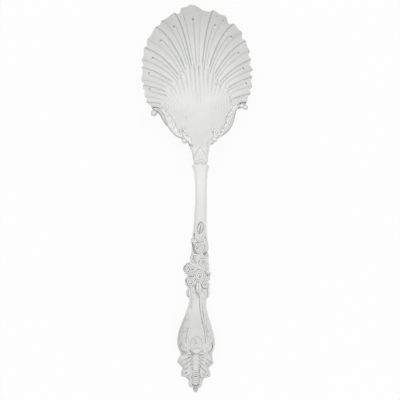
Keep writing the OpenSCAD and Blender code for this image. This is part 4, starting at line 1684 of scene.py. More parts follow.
@dataclass
class HandleForm:
    """The swept form that every piece of the handle follows, with the sizes of the solids."""

    dish: DishForm
    arch: float = 12.2
    butt_thickness: float = 5.6
    slim_thickness: float = 4.8
    neck_thickness: float = 2.2
    mouth_thickness: float = 6.0
    sway: float = 2.3
    crest_share: float = 0.16
    low_share: float = 0.93
    climb_share: float = 1.25
    section_power: float = 3.0
    # Half the length over which the outline is evened
    evening: float = 0.7
    edges: Edges = (
        (170, 193, 208.4), (174.6, 194.1, 207.7), (177, 194.5, 207.4), (180, 194.7, 207.2),
        (184, 194.9, 207.1), (190, 195, 206.9), (205, 194.9, 207), (213, 194.1, 207), (225, 193.4, 206.9),
        (232, 192.8, 206.9), (240, 192, 207.5), (250, 191.4, 208.2), (262, 190, 208.9),
        (274, 189.4, 209.4), (283, 188.9, 209.3), (288, 187.4, 209.3), (291, 185.9, 209.9),
        (294, 185.3, 210.1), (296.4, 186.6, 209.2), (298.6, 188.9, 207.3), (301, 189.1, 206.6),
        (304, 188.4, 206.4), (309.5, 186.6, 206.7), (315.4, 184.8, 207.8), (321, 182.6, 209.6),
        (327, 180.1, 211.8), (333, 178.2, 213.6), (339.5, 177.2, 214.8), (344.5, 177.2, 215.1),
        (349, 178.3, 214.2), (353, 180.4, 212.6), (357, 182, 211.4),
    )

    def __post_init__(self) -> None:
        """Reads the places along the handle from the frame."""
        middle = self.dish.middle()
        self.neck = middle + self.dish.back * np.array([math.sin(self.dish.lean), -math.cos(self.dish.lean)])
        low, high = corners("collar")
        self.collar_end, self.mouth = low[1], high[1]
        self.end = corners("front_shell")[0][1]
        self.length, collar = self.collar_end - self.end, self.mouth - self.collar_end
        self.crest = self.mouth - (self.length + collar) * self.crest_share
        self.low = self.collar_end - self.length * self.low_share
        neck_height = float(self.dish.height(np.array([0.0, -self.dish.back])))
        self.neck_middle = neck_height - self.neck_thickness / 2
        self.butt_middle = self.butt_thickness / 2
        self.crest_middle = self.butt_middle + self.arch
        table = np.array(self.edges)[::-1]
        self.left_rows, self.right_rows = (photo(table[:, [side, 0]]) for side in (1, 2))

    def middle_x(self, y: Array) -> Array:
        """Gives the middle line of the solids across the spoon."""
        share = np.clip((self.collar_end - y) / (self.collar_end - self.low), 0, 1.1)
        return self.neck[0] - self.sway * share**1.7

    def middle_z(self, y: Array) -> Array:
        """Gives the height of the middle line.

        Args:
            y: Places along the spoon.

        Returns:
            The heights.
        """
        s = (self.neck[1] - y) / (self.neck[1] - self.crest)
        c = self.climb_share
        share = c * s + (3 - 2 * c) * s**2 + (c - 2) * s**3
        climb = self.neck_middle + (self.crest_middle - self.neck_middle) * share
        fall = 1 - smooth((self.crest - y) / (self.crest - self.low))
        descent = self.butt_middle + (self.crest_middle - self.butt_middle) * fall
        return np.where(y > self.crest, climb, descent)

    def sides(self, y: Array) -> tuple[Array, Array]:
        """Gives the handle's two edges as the photograph shows them, a little evened.

        Args:
            y: Places along the spoon.

        Returns:
            The middle between the edges, and half the width.
        """
        shifts = np.linspace(-self.evening, self.evening, 7)
        left, right = (
            np.mean([np.interp(y + shift, rows[:, 1], rows[:, 0]) for shift in shifts], axis=0)
            for rows in (self.left_rows, self.right_rows)
        )
        return (left + right) / 2, (right - left) / 2

    def half_thickness(self, y: Array) -> Array:
        """Gives half the handle's thickness."""
        share = smooth(((self.collar_end - y) / self.length - 0.5) / 0.4)
        return (self.slim_thickness + (self.butt_thickness - self.slim_thickness) * share) / 2

    def crown(self, places: Array) -> Array:
        """Gives the surface that the spray stands on.

        Args:
            places: Pairs of x and y.

        Returns:
            Its height, which beside the handle goes on at the edge's height.
        """
        y = places[..., 1]
        middle, half = self.sides(y)
        u = np.abs(places[..., 0] - middle) / half
        round_share = np.clip(1 - u**self.section_power, 0, 1) ** (1 / self.section_power)
        flat_share = np.maximum(0.2, 1 - 0.3 * u**2)
        share = np.where(u < 1, np.maximum(round_share, flat_share), flat_share)
        return self.middle_z(y) + self.half_thickness(y) * share


@dataclass
class HandleShells:
    """The two struck half shells of the hollow handle, with the chased butt."""

    form: HandleForm
    wall: float = 0.6
    rows: int = 600
    columns: int = 120
    inner_columns: int = 9
    back_rows: int = 260
    back_columns: int = 60
    # The butt darkens from dark_from on; the extra darkening of its left flank and the line along the left
    # edge are painted shade
    butt_darkening: float = 0.17
    left_edge_shade: float = 0.05
    left_butt_shade: float = 0.14
    dark_from: float = -44.0
    dark_over: float = 9.0
    # The raised panel and the vines of the butt
    strokes: Strokes = (
        (VALLEY, ((191.4, 300), (189.8, 316), (187, 330), (186.8, 342)), 1.3, 0.3),
        (VALLEY, ((203, 300), (203.8, 312), (206.8, 326), (209, 340)), 1, 0.2),
        (VALLEY, ((195.6, 300), (194, 312), (191.6, 326), (190.2, 338)), 1.2, 0.1),
        (GROOVE, ((199.6, 296.6), (199.8, 307.6), (200.9, 315.3), (202.4, 323), (204.1, 330),
         (205.6, 343.9)), 0.26, 0.24),
        (LOBE, ((201.6, 302), (203.6, 305.4), (202.6, 309)), 0.44, 0.14),
        (LOBE, ((202.6, 309.4), (204.8, 313.4), (203.6, 318)), 0.5, 0.16),
        (LOBE, ((203.4, 317.6), (205.8, 321), (205, 325.6)), 0.5, 0.16),
        (LOBE, ((205, 325), (208.4, 327.6), (208, 332.6)), 0.56, 0.18),
        (LOBE, ((206.6, 332.4), (209.4, 336), (208.4, 341)), 0.56, 0.18),
        (LOBE, ((208.6, 322), (210, 326), (210.4, 330)), 0.4, 0.12),
        (GROOVE, ((202.4, 310.9), (203.6, 315.3), (202.9, 321.4), (204.8, 325.2), (206.2, 330.4),
         (206.6, 337)), 0.18, 0.14),
        (DOT, ((202.3, 322.6),), 0.3, 0.16), (DOT, ((203.8, 327.8),), 0.28, 0.16),
        (DOT, ((208.2, 331.8),), 0.26, 0.14),
        (LOBE, ((190.8, 300.6), (190, 304.6), (191.2, 308)), 0.36, 0.1, 0.1),
        (LOBE, ((189.6, 307.6), (187.6, 310.4), (188.6, 314)), 0.4, 0.12, 0.1),
        (LOBE, ((188.4, 313.6), (186.6, 316.6), (187.2, 320.4)), 0.42, 0.12, 0.1),
        (LOBE, ((186.8, 320.4), (184.6, 323.6), (185, 327.6)), 0.42, 0.12, 0.1),
        (LOBE, ((187.8, 327.6), (185.4, 334.6), (186, 341)), 0.4, 0.12, 0.1),
        (LOBE, ((188.6, 336), (187.2, 341), (188.4, 346)), 0.5, 0.14, 0.1),
        (DOT, ((183.4, 332.4),), 0.34, 0.24), (DOT, ((185.5, 331.6),), 0.3, 0.2),
        (DOT, ((190.4, 306),), 0.16, 0.08), (DOT, ((188.2, 318.6),), 0.16, 0.08),
        # Grooves beside the spray, darkened as painted shade
        (GROOVE, ((193, 234), (193.2, 240.4), (192.9, 247), (194, 251.6), (197, 254.4)), 0.3, 0.12, 0.9),
        (GROOVE, ((195, 284), (196, 290.6), (198.4, 297.4)), 0.34, 0.12, 0.95),
        (GROOVE, ((202, 287), (205.4, 288.6), (208.6, 287.6)), 0.3, 0.1, 0.8),
        # Shoulder lobes at the waist
        (LOBE, ((188.6, 287.4), (186.2, 291), (187, 295.6)), 0.85, 0.5),
        (LOBE, ((207.6, 288.6), (209.6, 292), (208.4, 296)), 0.8, 0.45),
        (DOT, ((188.6, 296.2),), 0.42, 0.3), (DOT, ((206.9, 296.6),), 0.3, 0.18),
        (GROOVE, ((190.6, 288), (190.8, 293), (192, 298)), 0.2, 0.14),
        (GROOVE, ((194.6, 287.4), (195.4, 292), (196.4, 297.4)), 0.18, 0.12),
        # Rosette in the panel: its lobed outline and the rays between its petals
        (GROOVE, ((190.7, 346.2), (190.4, 343.2), (191.6, 341.4), (191.7, 339.4), (193.6, 338.6),
         (194.5, 336.7), (196.4, 337.2), (198.4, 336.6), (199.2, 338.4), (201.2, 339.2), (201.1, 341.3),
         (202.4, 343.2), (201.8, 346.2)), 0.24, 0.18, 0.5),
        (GROOVE, ((195, 346.6), (193.4, 344), (192.4, 341.4)), 0.2, 0.14, 0.42),
        (GROOVE, ((195.7, 346.6), (195, 342.6), (195, 338.8)), 0.2, 0.14, 0.42),
        (GROOVE, ((196.6, 346.6), (197.3, 342.6), (197.4, 338.8)), 0.2, 0.14, 0.42),
        (GROOVE, ((197.4, 346.6), (199.2, 344), (200.4, 341.4)), 0.2, 0.14, 0.42),
        (DOT, ((193.2, 345.6),), 0.2, 0.1, 0.4), (DOT, ((199.6, 345.8),), 0.2, 0.1, 0.4),
        # Pointed cap under the rosette, with a lobed lower edge
        (LOBE, ((193, 351.4), (191.6, 350.4), (191.4, 349)), 0.66, 0.26),
        (LOBE, ((194.6, 350), (194.6, 351.6), (194.2, 353.2)), 0.66, 0.28),
        (LOBE, ((196.6, 350), (196.6, 352.4), (196.4, 354.6)), 0.72, 0.3),
        (LOBE, ((198.6, 350), (198.8, 351.6), (199.2, 353.2)), 0.66, 0.28),
        (LOBE, ((200.2, 351.2), (201.6, 350.2), (202, 348.8)), 0.62, 0.26),
        (RIDGE, ((191, 348.5), (196.4, 348.2), (202.4, 348.4)), 0.3, 0.3),
        (GROOVE, ((190.6, 349.6), (192.4, 352.3), (194.4, 354.5), (196.2, 355.5), (198, 354.4),
         (200.2, 352), (202.2, 349.6)), 0.26, 0.26, 0.6),
        (GROOVE, ((190, 350.4), (191.4, 353.2), (193.8, 354.4), (196.2, 356.2)), 0.32, 0.3, 0.75),
        (GROOVE, ((196.2, 356.2), (199.4, 354.4), (201.6, 353), (203, 350.6)), 0.24, 0.2, 0.45),
        # Scrolls beside the cap
        (GROOVE, ((180.8, 343.6), (180.9, 347.6), (182.6, 351.4), (185.8, 353.8)), 0.28, 0.24, 0.7),
        (LOBE, ((182.4, 344.6), (181.8, 348), (183.4, 351.6)), 0.56, 0.24),
        (RIDGE, ((184.4, 349.6), (185, 349.9)), 0.74, 0.36),
        (LOBE, ((186.6, 346.4), (187.6, 349.6), (187, 353.2)), 0.6, 0.24),
        (DOT, ((183, 345.2),), 0.24, 0.16), (DOT, ((186.4, 352.6),), 0.3, 0.2),
        (GROOVE, ((211.8, 343), (212.4, 346.6), (211.2, 350.4), (208.4, 353.4)), 0.28, 0.24, 0.7),
        (LOBE, ((210, 342.6), (211, 346.6), (209.6, 350.6)), 0.6, 0.26),
        (LOBE, ((206.4, 346.8), (208.6, 348.4), (208.4, 351.8)), 0.6, 0.26),
        (RIDGE, ((205, 351.6), (205.6, 351.8)), 0.7, 0.3),
        (DOT, ((206.9, 353.4),), 0.3, 0.2), (DOT, ((203.2, 352.6),), 0.26, 0.18),
        (DOT, ((210.6, 352.2),), 0.22, 0.14),
    )

    def shell(self, way: int, rows: int, columns: int, strokes: Strokes) -> Patch:
        """Builds one half shell.

        Args:
            way: 1 for the front, -1 for the back.
            rows: Rows of points along the handle.
            columns: Points across it.
            strokes: The chased relief.

        Returns:
            The closed half shell.
        """
        form = self.form
        y = np.linspace(form.collar_end, form.end, rows)[:, None]
        middle, half = form.sides(y)
        centre, thick = form.middle_z(y), form.half_thickness(y)
        power = 2 / form.section_power

        def arc(count: int, inset: float) -> Array:
            """Gives the arc of the section along the shell.

            Args:
                count: Number of points across it.
                inset: How far it lies inside the outer face.

            Returns:
                The grid of its points.
            """
            a = np.linspace(math.pi, 0, count)[None, :]
            x = middle + (half - inset) * squared(np.cos(a), power)
            z = centre + way * (thick - inset) * squared(np.sin(a), power)
            return np.dstack([x, y + 0 * a, z])

        a = np.linspace(math.pi, 0, columns)[None, :]
        # Painted shade on the left flank and along the left edge, over an even darkening of the butt
        butt = smooth((self.dark_from - y) / self.dark_over)
        left, edge_line = smooth((-np.cos(a) - 0.2) / 0.6), smooth((-np.cos(a) - 0.7) / 0.25)
        ground = butt * (self.butt_darkening + self.left_butt_shade * left) + self.left_edge_shade * edge_line
        top, patina = Chaser().work(arc(columns, 0), strokes, ground, taper(columns, 0, 6))
        return sheet(top, arc(self.inner_columns, self.wall), {"patina": patina})

    def front(self) -> Patch:
        """Builds the chased front shell."""
        return self.shell(1, self.rows, self.columns, self.strokes)

    def back(self) -> Patch:
        """Builds the back shell. It is plain, because the photograph doesn't show it."""
        return self.shell(-1, self.back_rows, self.back_columns, ())


@dataclass
class NeckPieces:
    """The forged shank, its calyx leaf and the flared collar."""

    form: HandleForm
    rods: Rods
    thickness: float = 2.2
    mouth_thickness: float = 3.2
    tongue_thickness: float = 0.8
    seat: float = 1.4
    square_power: float = 3.6
    round_power: float = 2.3
    tang: float = 2.4
    tang_length: float = 32.0
    leaf_thickness: float = 0.3
    rib_radius: float = 0.27
    around: int = 72
    neck_rows: int = 80
    tang_rows: int = 24
    wire_points: int = 60
    leaf_rows: int = 90
    leaf_columns: int = 61
    collar_columns: int = 120
    neck_edges: Edges = (
        (139, 190.8, 209.5), (141, 188.4, 211), (143, 187.7, 211.4), (144.9, 188.9, 210.2),
        (146.4, 190.2, 209.3), (148, 191.1, 209.1), (151.6, 192.3, 208.3), (156.1, 193.1, 207.9),
        (160.6, 193.4, 207.8), (166, 193.8, 207.2),
    )
    collar_edges: Edges = (
        (163.4, 191.9, 208.9), (164.3, 191.3, 209.5), (165, 191.4, 209.5), (166.4, 191.9, 209.1),
        (168.3, 192.5, 208.8), (170.5, 193.1, 208.2), (172.3, 193.6, 207.9), (174.6, 194.1, 207.7),
    )
    # How far the collar's lip lies below its highest point, over the share of its half width
    lip: Pixels = (
        (0, 0), (0.1, 0.08), (0.24, 0.42), (0.38, 0.6), (0.5, 0.52), (0.68, 0.3), (0.82, 0.44),
        (0.93, 0.82), (1, 1),
    )
    lip_drop: float = 0.3
    blend_length: float = 2.4
    # Painted shade carried on from the bowl's heel onto the neck
    heel_shade: float = 0.04
    shade_over: float = 1.6
    # The raised lines at the edges of the neck, in pixels
    ribs: Sequence[Pixels] = (
        ((186.6, 140.6), (188.9, 142.6), (190.8, 145.6), (192.2, 149.4), (193.1, 153.6), (193.9, 158.6),
         (194.2, 162.6)),
        ((213.6, 137.8), (210.4, 139.6), (207.9, 142.6), (206.9, 147), (206.6, 152), (206.8, 157),
         (207, 162.4)),
        ((212.4, 141.6), (210.4, 144.4), (209, 148), (208.1, 152), (207.5, 157), (207.2, 162.4)),
    )
    # Mouldings that climb from the neck to the collar's lip, each with its radius and rise
    mouldings: Sequence[tuple[Pixels, float, float]] = (
        (((194.2, 161.6), (196.6, 162.5), (198.5, 161.7), (200.5, 161.1), (202.6, 161.6),
         (204.7, 162.4), (206.8, 161.5)), 0.8, 0.4),
        (((194.2, 163.5), (196.4, 164.5), (198.4, 163.7), (200.5, 163), (202.6, 163.6), (204.9, 164.4),
         (206.8, 163.4)), 0.46, 0.95),
    )
    # Dark wires of painted shade under either edge of the neck, with their radius
    edge_shades: Sequence[tuple[Pixels, float]] = (
        (((189, 145), (190.2, 146.8), (191.2, 149), (192.2, 152.2), (192.8, 156), (193.2, 160.4)), 0.22),
        (((211.2, 142.6), (209.6, 146), (208.5, 150.6), (208, 156), (207.8, 160.4)), 0.17),
    )
    edge_shade_darkness: float = 0.36
    # How far under the edge that line lies, as a share of the neck's half thickness
    edge_drop: float = 0.7
    # The tongue past the neck's end: where the neck thins to it, and over what length
    tongue_start: float = 0.5
    tongue_over: float = 0.8
    # How far the neck's face stands over the bowl's, and how and where the tongue sinks into the sheet
    cover: float = 0.015
    sink: float = 0.075
    sink_start: float = 0.4
    sink_over: float = 2.6
    # The leaf's lip, how far it stands off the neck and reaches into it, its veins and its tarnish
    leaf_lip: float = 0.3
    leaf_lift: float = 0.02
    leaf_seat: float = 0.1
    veins: int = 4
    vein_height: float = 0.035
    leaf_patina: float = 0.42
    vein_patina: float = 0.22
    # The rings of the collar as shares of its length, and how far the first two are rounded in
    collar_rings: tuple[float, ...] = (
        0, 0.015, 0.05, 0.1, 0.16, 0.24, 0.32, 0.42, 0.52, 0.64, 0.76, 0.88, 1.0,
    )
    lip_rounding: Pair = (0.16, 0.05)
    # The rings inside the mouth, each with its depth and its room beside the wall
    mouth_rings: Pixels = ((1.2, 0.02), (0.5, 0.1), (0.12, 0.35))
    mouth_wall: Pair = (0.55, 0.5)
    mouth_slope: float = 0.3
    mouth_patina: float = 0.2
    lip_patina: float = 0.12
    leaf_edges: Edges = (
        (147.2, 200, 200.5), (148.2, 199, 201.5), (149.4, 198, 202.6), (150.6, 197, 203.3),
        (152.5, 196.1, 204.3), (154.2, 195.2, 205.5), (155.5, 194.1, 206.8), (156.6, 193.6, 207.4),
        (159, 193.7, 207.4), (161, 194, 207.2),
    )

    def bulk(self, y: Array) -> tuple[Array, Array]:
        """Gives the eased share of the way to the mouth, and half the forged neck's thickness."""
        way = self.form.neck[1] - self.form.mouth + self.seat
        share = smooth((self.form.neck[1] - y) / way)
        return share, (self.thickness + (self.mouth_thickness - self.thickness) * share) / 2

    def section(self, y: Array) -> tuple[Array, Array]:
        """Gives the neck's half thickness and squareness.

        Args:
            y: Places along the spoon. Before the neck, its tongue lies in the bowl's sheet.

        Returns:
            Half the thickness and the power of the rounding.
        """
        share, half = self.bulk(y)
        thinned = smooth((y - self.form.neck[1] + self.tongue_start) / self.tongue_over)
        half = half + (self.tongue_thickness / 2 - half) * thinned
        return half, self.square_power + (self.round_power - self.square_power) * share

    def top(self, x: Array, y: Array) -> Array:
        """Gives the height of the neck's upper face.

        Args:
            x: Places across the spoon.
            y: Places along it.

        Returns:
            The height, which runs into the bowl's upper face.
        """
        form = self.form
        bowl = form.dish.rise(np.stack(np.broadcast_arrays(x, y), -1))
        neck = form.middle_z(np.minimum(y, form.neck[1])) + self.bulk(y)[1]
        mixed = bowl + (neck - bowl) * smooth((form.neck[1] - y) / self.blend_length)
        past = smooth((y - form.neck[1] - self.sink_start) / self.sink_over)
        return mixed + self.cover - self.sink * past

    def surface(self, places: Array) -> Array:
        """Gives the height of the neck's rounded upper side.

        Args:
            places: Pairs of x and y.

        Returns:
            The heights.
        """
        x, y = places[..., 0], places[..., 1]
        middle, wide = outline(self.neck_edges, y)
        half, power = self.section(y)
        u = np.clip(np.abs(x - middle) / wide, 0, 0.995)
        return self.top(x, y) - half * (1 - (1 - u**power) ** (1 / power))

    def flank(self, places: Array) -> Array:
        """Gives the height of the neck's side, a little under its edge."""
        return self.top(places[:, 0], places[:, 1]) - self.section(places[:, 1])[0] * self.edge_drop

    def shank(self) -> Patch:
        """Builds the shank with its tongue, its edge ribs and its tang.

        Returns:
            The shank.
        """
        form = self.form
        start = photo((self.neck_edges[0][1], self.neck_edges[0][0]))[1]
        seat_y = form.mouth - self.seat
        y = np.linspace(start, seat_y, self.neck_rows)[:, None]
        a = np.linspace(0, 2 * math.pi, self.around, endpoint=False)[None, :]
        middle, wide = outline(self.neck_edges, y)
        half, power = self.section(y)
        x = middle + wide * squared(np.cos(a), 2 / power)
        z = self.top(x, y) - half + half * squared(np.sin(a), 2 / power)
        neck = np.dstack([x, y + 0 * a, z])
        y = np.linspace(seat_y, seat_y - self.tang_length, self.tang_rows)[:, None]
        radius = self.tang / 2
        x, z = form.middle_x(y) + radius * np.cos(a), form.middle_z(y) + radius * np.sin(a)
        tang = np.dstack([x, y + 0 * a, z])
        # Painted shade from the bowl's heel
        shade = self.heel_shade * smooth((neck[..., 1] - form.neck[1]) / self.shade_over + 1)
        marks = {"patina": np.concatenate([shade, np.zeros(tang.shape[:2])])}
        parts = [tube(np.concatenate([neck, tang]), marks)]
        for line, radius, rise in (*((rib, self.rib_radius, -0.06) for rib in self.ribs), *self.mouldings):
            radii = radius * taper(self.wire_points, 0.45, 4)
            parts.append(self.rods.laid(line, self.surface, rise, radii, 0.04))
        # Dark wires of painted shade along the neck's flanks
        for line, radius in self.edge_shades:
            radii = radius * np.linspace(1.0, 0.5, self.wire_points)
            parts.append(self.rods.laid(line, self.flank, 0.0, radii, self.edge_shade_darkness))
        return Patch.join(parts)

    def calyx(self) -> Patch:
        """Builds the pointed calyx leaf over the neck, with its fine veins.

        Returns:
            The closed leaf.
        """
        first, last = (photo((row[1], row[0]))[1] for row in (self.leaf_edges[0], self.leaf_edges[-1]))
        y = np.linspace(first, last, self.leaf_rows)[:, None]
        u = np.linspace(-1, 1, self.leaf_columns)[None, :]
        middle, wide = outline(self.leaf_edges, y)
        places = np.stack(np.broadcast_arrays(middle + wide * u, y), -1)
        ground = self.surface(places)
        along = np.linspace(0, 1, self.leaf_rows)[:, None]
        inside = np.minimum((1 - np.abs(u)) * wide, first - y + 0.02)
        lip = smooth(inside / self.leaf_lip)
        vein = np.cos(2 * math.pi * self.veins * u) * smooth((along - 0.3) / 0.3) * smooth((1 - along) / 0.2)
        level = ground + self.leaf_lift + self.leaf_thickness * lip + self.vein_height * vein * lip
        top = np.dstack([places, level])
        base = np.dstack([places, ground - self.leaf_seat])[:, ::6]
        edge = self.leaf_patina * (1 - lip) * smooth((0.9 - along) / 0.3)
        patina = edge + self.vein_patina * np.clip(-vein - 0.2, 0, 1) + 0.01
        return sheet(top, base, {"patina": patina})

    def collar(self) -> Patch:
        """Builds the flared collar, whose lip rises in the middle and dips at its corners.

        Returns:
            The collar, with the inside of its mouth.
        """
        form = self.form
        a = np.linspace(0, 2 * math.pi, self.collar_columns, endpoint=False)[None, :]
        power = 2 / form.section_power
        share = np.array(self.collar_rings)[:, None]
        y = form.mouth - self.lip_drop - share * (form.mouth - self.lip_drop - form.collar_end)
        middle, wide = outline(self.collar_edges, y)
        end_middle, end_wide = form.sides(np.full(1, form.collar_end))
        blend = smooth((share - 0.6) / 0.4)
        middle, wide = middle + (end_middle - middle) * blend, wide + (end_wide - wide) * blend
        flare = (wide - end_wide) / (wide[2] - end_wide)
        thick = form.half_thickness(y) + (form.mouth_thickness / 2 - form.half_thickness(y)) * flare
        thick[:2, 0] -= self.lip_rounding
        dip = np.interp(np.abs(np.cos(a)) ** power, *np.transpose(self.lip)) * (1 - smooth(share / 0.45))
        x = middle + wide * squared(np.cos(a), power)
        z = form.middle_z(y - dip) + thick * squared(np.sin(a), power)
        outer = np.dstack([x, y - dip, z])
        inner = []
        for depth, room in self.mouth_rings:
            level = form.mouth - self.lip_drop - depth - dip[0]
            drawn = self.mouth_slope * (room - self.mouth_rings[-1][1])
            ring_x = middle[0] + (wide[0] - self.mouth_wall[0] + drawn) * np.cos(a[0])
            ring_z = form.middle_z(level) + (thick[0] - self.mouth_wall[1]) * np.sin(a[0])
            inner.append(np.column_stack([ring_x, level, ring_z]))
        rings = np.concatenate([np.array(inner), outer])
        patina = np.zeros(rings.shape[:2])
        patina[: len(inner)] = self.mouth_patina
        patina[len(inner) : len(inner) + 2] = self.lip_patina
        return tube(rings, {"patina": patina})


@dataclass
class RoseSpray:
    """The roses, buds, blossoms and leaves that run down the handle."""

    form: HandleForm
    whorls: Whorls
    rods: Rods
    rise: float = 1.1
    crease_rise: float = 0.55
    crease_shade: float = 0.6
    # Flowers: place in pixels, diameter, height share, petals of each ring, and pits in pixels
    blooms: Sequence[tuple[float, float, float, float, tuple[int, ...], Pixels]] = (
        (200.2, 247.8, 5.3, 0.95, (6, 5, 4, 3), ((197.3, 248), (204.6, 249), (204.9, 245.4))),
        (203.4, 262.6, 4, 0.95, (7, 6, 5, 4), ()), (199.6, 275.4, 5.3, 1, (7, 6, 5, 4), ((199.9, 276.6),)),
        (195, 258.2, 4.2, 0.75, (4, 3, 2, 2), ((194, 258.4),)),
        (189.6, 268.9, 5.5, 1, (6, 5, 4, 3), ((188.3, 267.6), (189.6, 269.3), (192.4, 269.3),
         (188, 271.8))),
        (190.6, 281.9, 5, 0.9, (5, 4, 3, 3), ((192.3, 286), (191.2, 283.4))),
        (205.8, 284.8, 3.5, 0.85, (6, 5, 4, 3), ()),
        (206.4, 276.6, 3.2, 0.7, (5, 4, 3, 3), ((207.6, 275.2),)),
        (206.6, 268.6, 2.6, 0.6, (5, 4, 3, 3), ()),
        (204.2, 237.4, 1.9, 0.6, (3, 3, 2, 2), ((205.6, 237.2),)),
        (194.8, 238.6, 2.4, 0.6, (5, 4, 3, 3), ((194.2, 235.8),)),
        (206.7, 255.6, 2.1, 0.8, (3, 2, 2, 2), ((205, 254.4),)),
        (199.2, 256.6, 1.8, 0.7, (4, 3, 2, 2), ()), (195.4, 269.8, 1.9, 0.7, (4, 3, 2, 2), ()),
    )
    # The closed bud at the top: its foot and its tip
    bud: Pixels = ((199.3, 234), (201.5, 221.5))
    # Leaves: foot and tip in pixels, width and rise as shares of the length
    leaves: Sequence[tuple[Pair, Pair, float, float]] = (
        ((197.6, 242.4), (193.6, 232.2), 0.56, 0.14), ((202, 243), (206.4, 234.4), 0.56, 0.13),
        ((196.4, 246), (190.8, 238), 0.56, 0.12), ((204.4, 253), (207.8, 243), 0.5, 0.12),
        ((204.4, 247), (207, 238.6), 0.56, 0.11), ((197.6, 262.6), (191.4, 253.4), 0.6, 0.13),
        ((199.6, 263), (197.2, 252.4), 0.6, 0.12), ((205, 271.4), (211.8, 274.2), 0.5, 0.13),
        ((204.4, 268.4), (209.4, 264.4), 0.56, 0.12), ((204.6, 277), (210.6, 279.6), 0.56, 0.12),
        ((198.4, 281.4), (198.8, 297.2), 0.44, 0.15), ((195.4, 284.6), (193.4, 294.4), 0.5, 0.12),
        ((203, 286.6), (205.6, 295), 0.5, 0.12), ((196.4, 268.6), (188.4, 262.4), 0.56, 0.12),
        ((195.8, 273.4), (186.6, 275.4), 0.5, 0.12), ((196.4, 279.6), (188, 276.4), 0.5, 0.11),
        ((201, 269.4), (205.8, 270.6), 0.7, 0.16), ((197, 270.2), (196.2, 264.8), 0.7, 0.16),
        ((203.4, 281.6), (209, 284), 0.6, 0.13), ((196.8, 240.6), (199.2, 235.4), 0.6, 0.16),
    )

    # Dark wires of painted shade laid in the deep creases round the flowers: path in pixels and half width
    creases: Sequence[tuple[Pixels, float]] = (
        (((201.2, 221.6), (199.6, 222.9), (198.2, 225.2), (197.8, 228.4), (198.7, 232),
         (199.4, 234.2)), 0.14),
        (((201.2, 221.6), (203, 224), (203.8, 227.4), (202.9, 230.6), (201, 233.2)), 0.08),
        (((193.9, 232.9), (194.2, 236.6), (194.9, 239.7)), 0.17),
        (((192.2, 242.2), (192.6, 246), (193.5, 250.7), (195.2, 252.6), (196.9, 254.1)), 0.18),
        (((203.4, 254.9), (204.6, 253.6), (206.2, 252.9), (208, 252.9)), 0.19),
        (((193, 255), (193.3, 258.4), (194.6, 261.2), (196.6, 263.2)), 0.12),
        (((185, 272.2), (184.5, 268), (185.9, 264.5), (189.7, 261.8)), 0.12),
        (((188.8, 276), (190.8, 276.9), (193, 276.7)), 0.14),
        (((185.6, 278.8), (186.4, 281.4), (187.6, 283.6), (189.7, 287.3)), 0.19),
        (((194.4, 284.6), (195.6, 289.4), (197, 292.8), (198.4, 295.6)), 0.19),
        (((198.6, 289.6), (198.7, 294.4)), 0.12), (((202.4, 288), (205.4, 288.7), (208.4, 288)), 0.14),
        (((205.8, 273.6), (208, 274.2), (210.2, 275.8)), 0.12), (((205.2, 236.3), (205.5, 238)), 0.17),
    )

    def flowers(self) -> Patch:
        """Builds the roses, blossoms and buds, with dark wires of painted shade in their creases.

        Returns:
            The flowers, each on the handle.
        """
        made = []
        for k, (x, y, size, share, petals, pits) in enumerate(self.blooms):
            places = photo(pits) - photo((x, y)) if pits else None
            head = self.whorls.flower(size, self.rise * share, 3 + 7 * k, petals, places)
            made.append(conform(head, photo((x, y)), self.form.crown, 0.12))
        bud = Leaf(0.52, 0.2, 0.05, slit=0.75, outline=0.3, shaded_outline=0.2, rows=41, columns=33)
        made.append(bud.laid(*self.bud, self.form.crown))
        # Dark wires of painted shade in the creases
        for path, half in self.creases:
            radius = half * taper(24, 0.35, 5)
            made.append(self.rods.laid(path, self.form.crown, self.crease_rise, radius, self.crease_shade))
        return Patch.join(made)

    def foliage(self) -> Patch:
        """Builds the leaves, each on the handle."""
        leaves = ((Leaf(width=width, rise=rise), foot, tip) for foot, tip, width, rise in self.leaves)
        return Patch.join([leaf.laid(foot, tip, self.form.crown) for leaf, foot, tip in leaves])


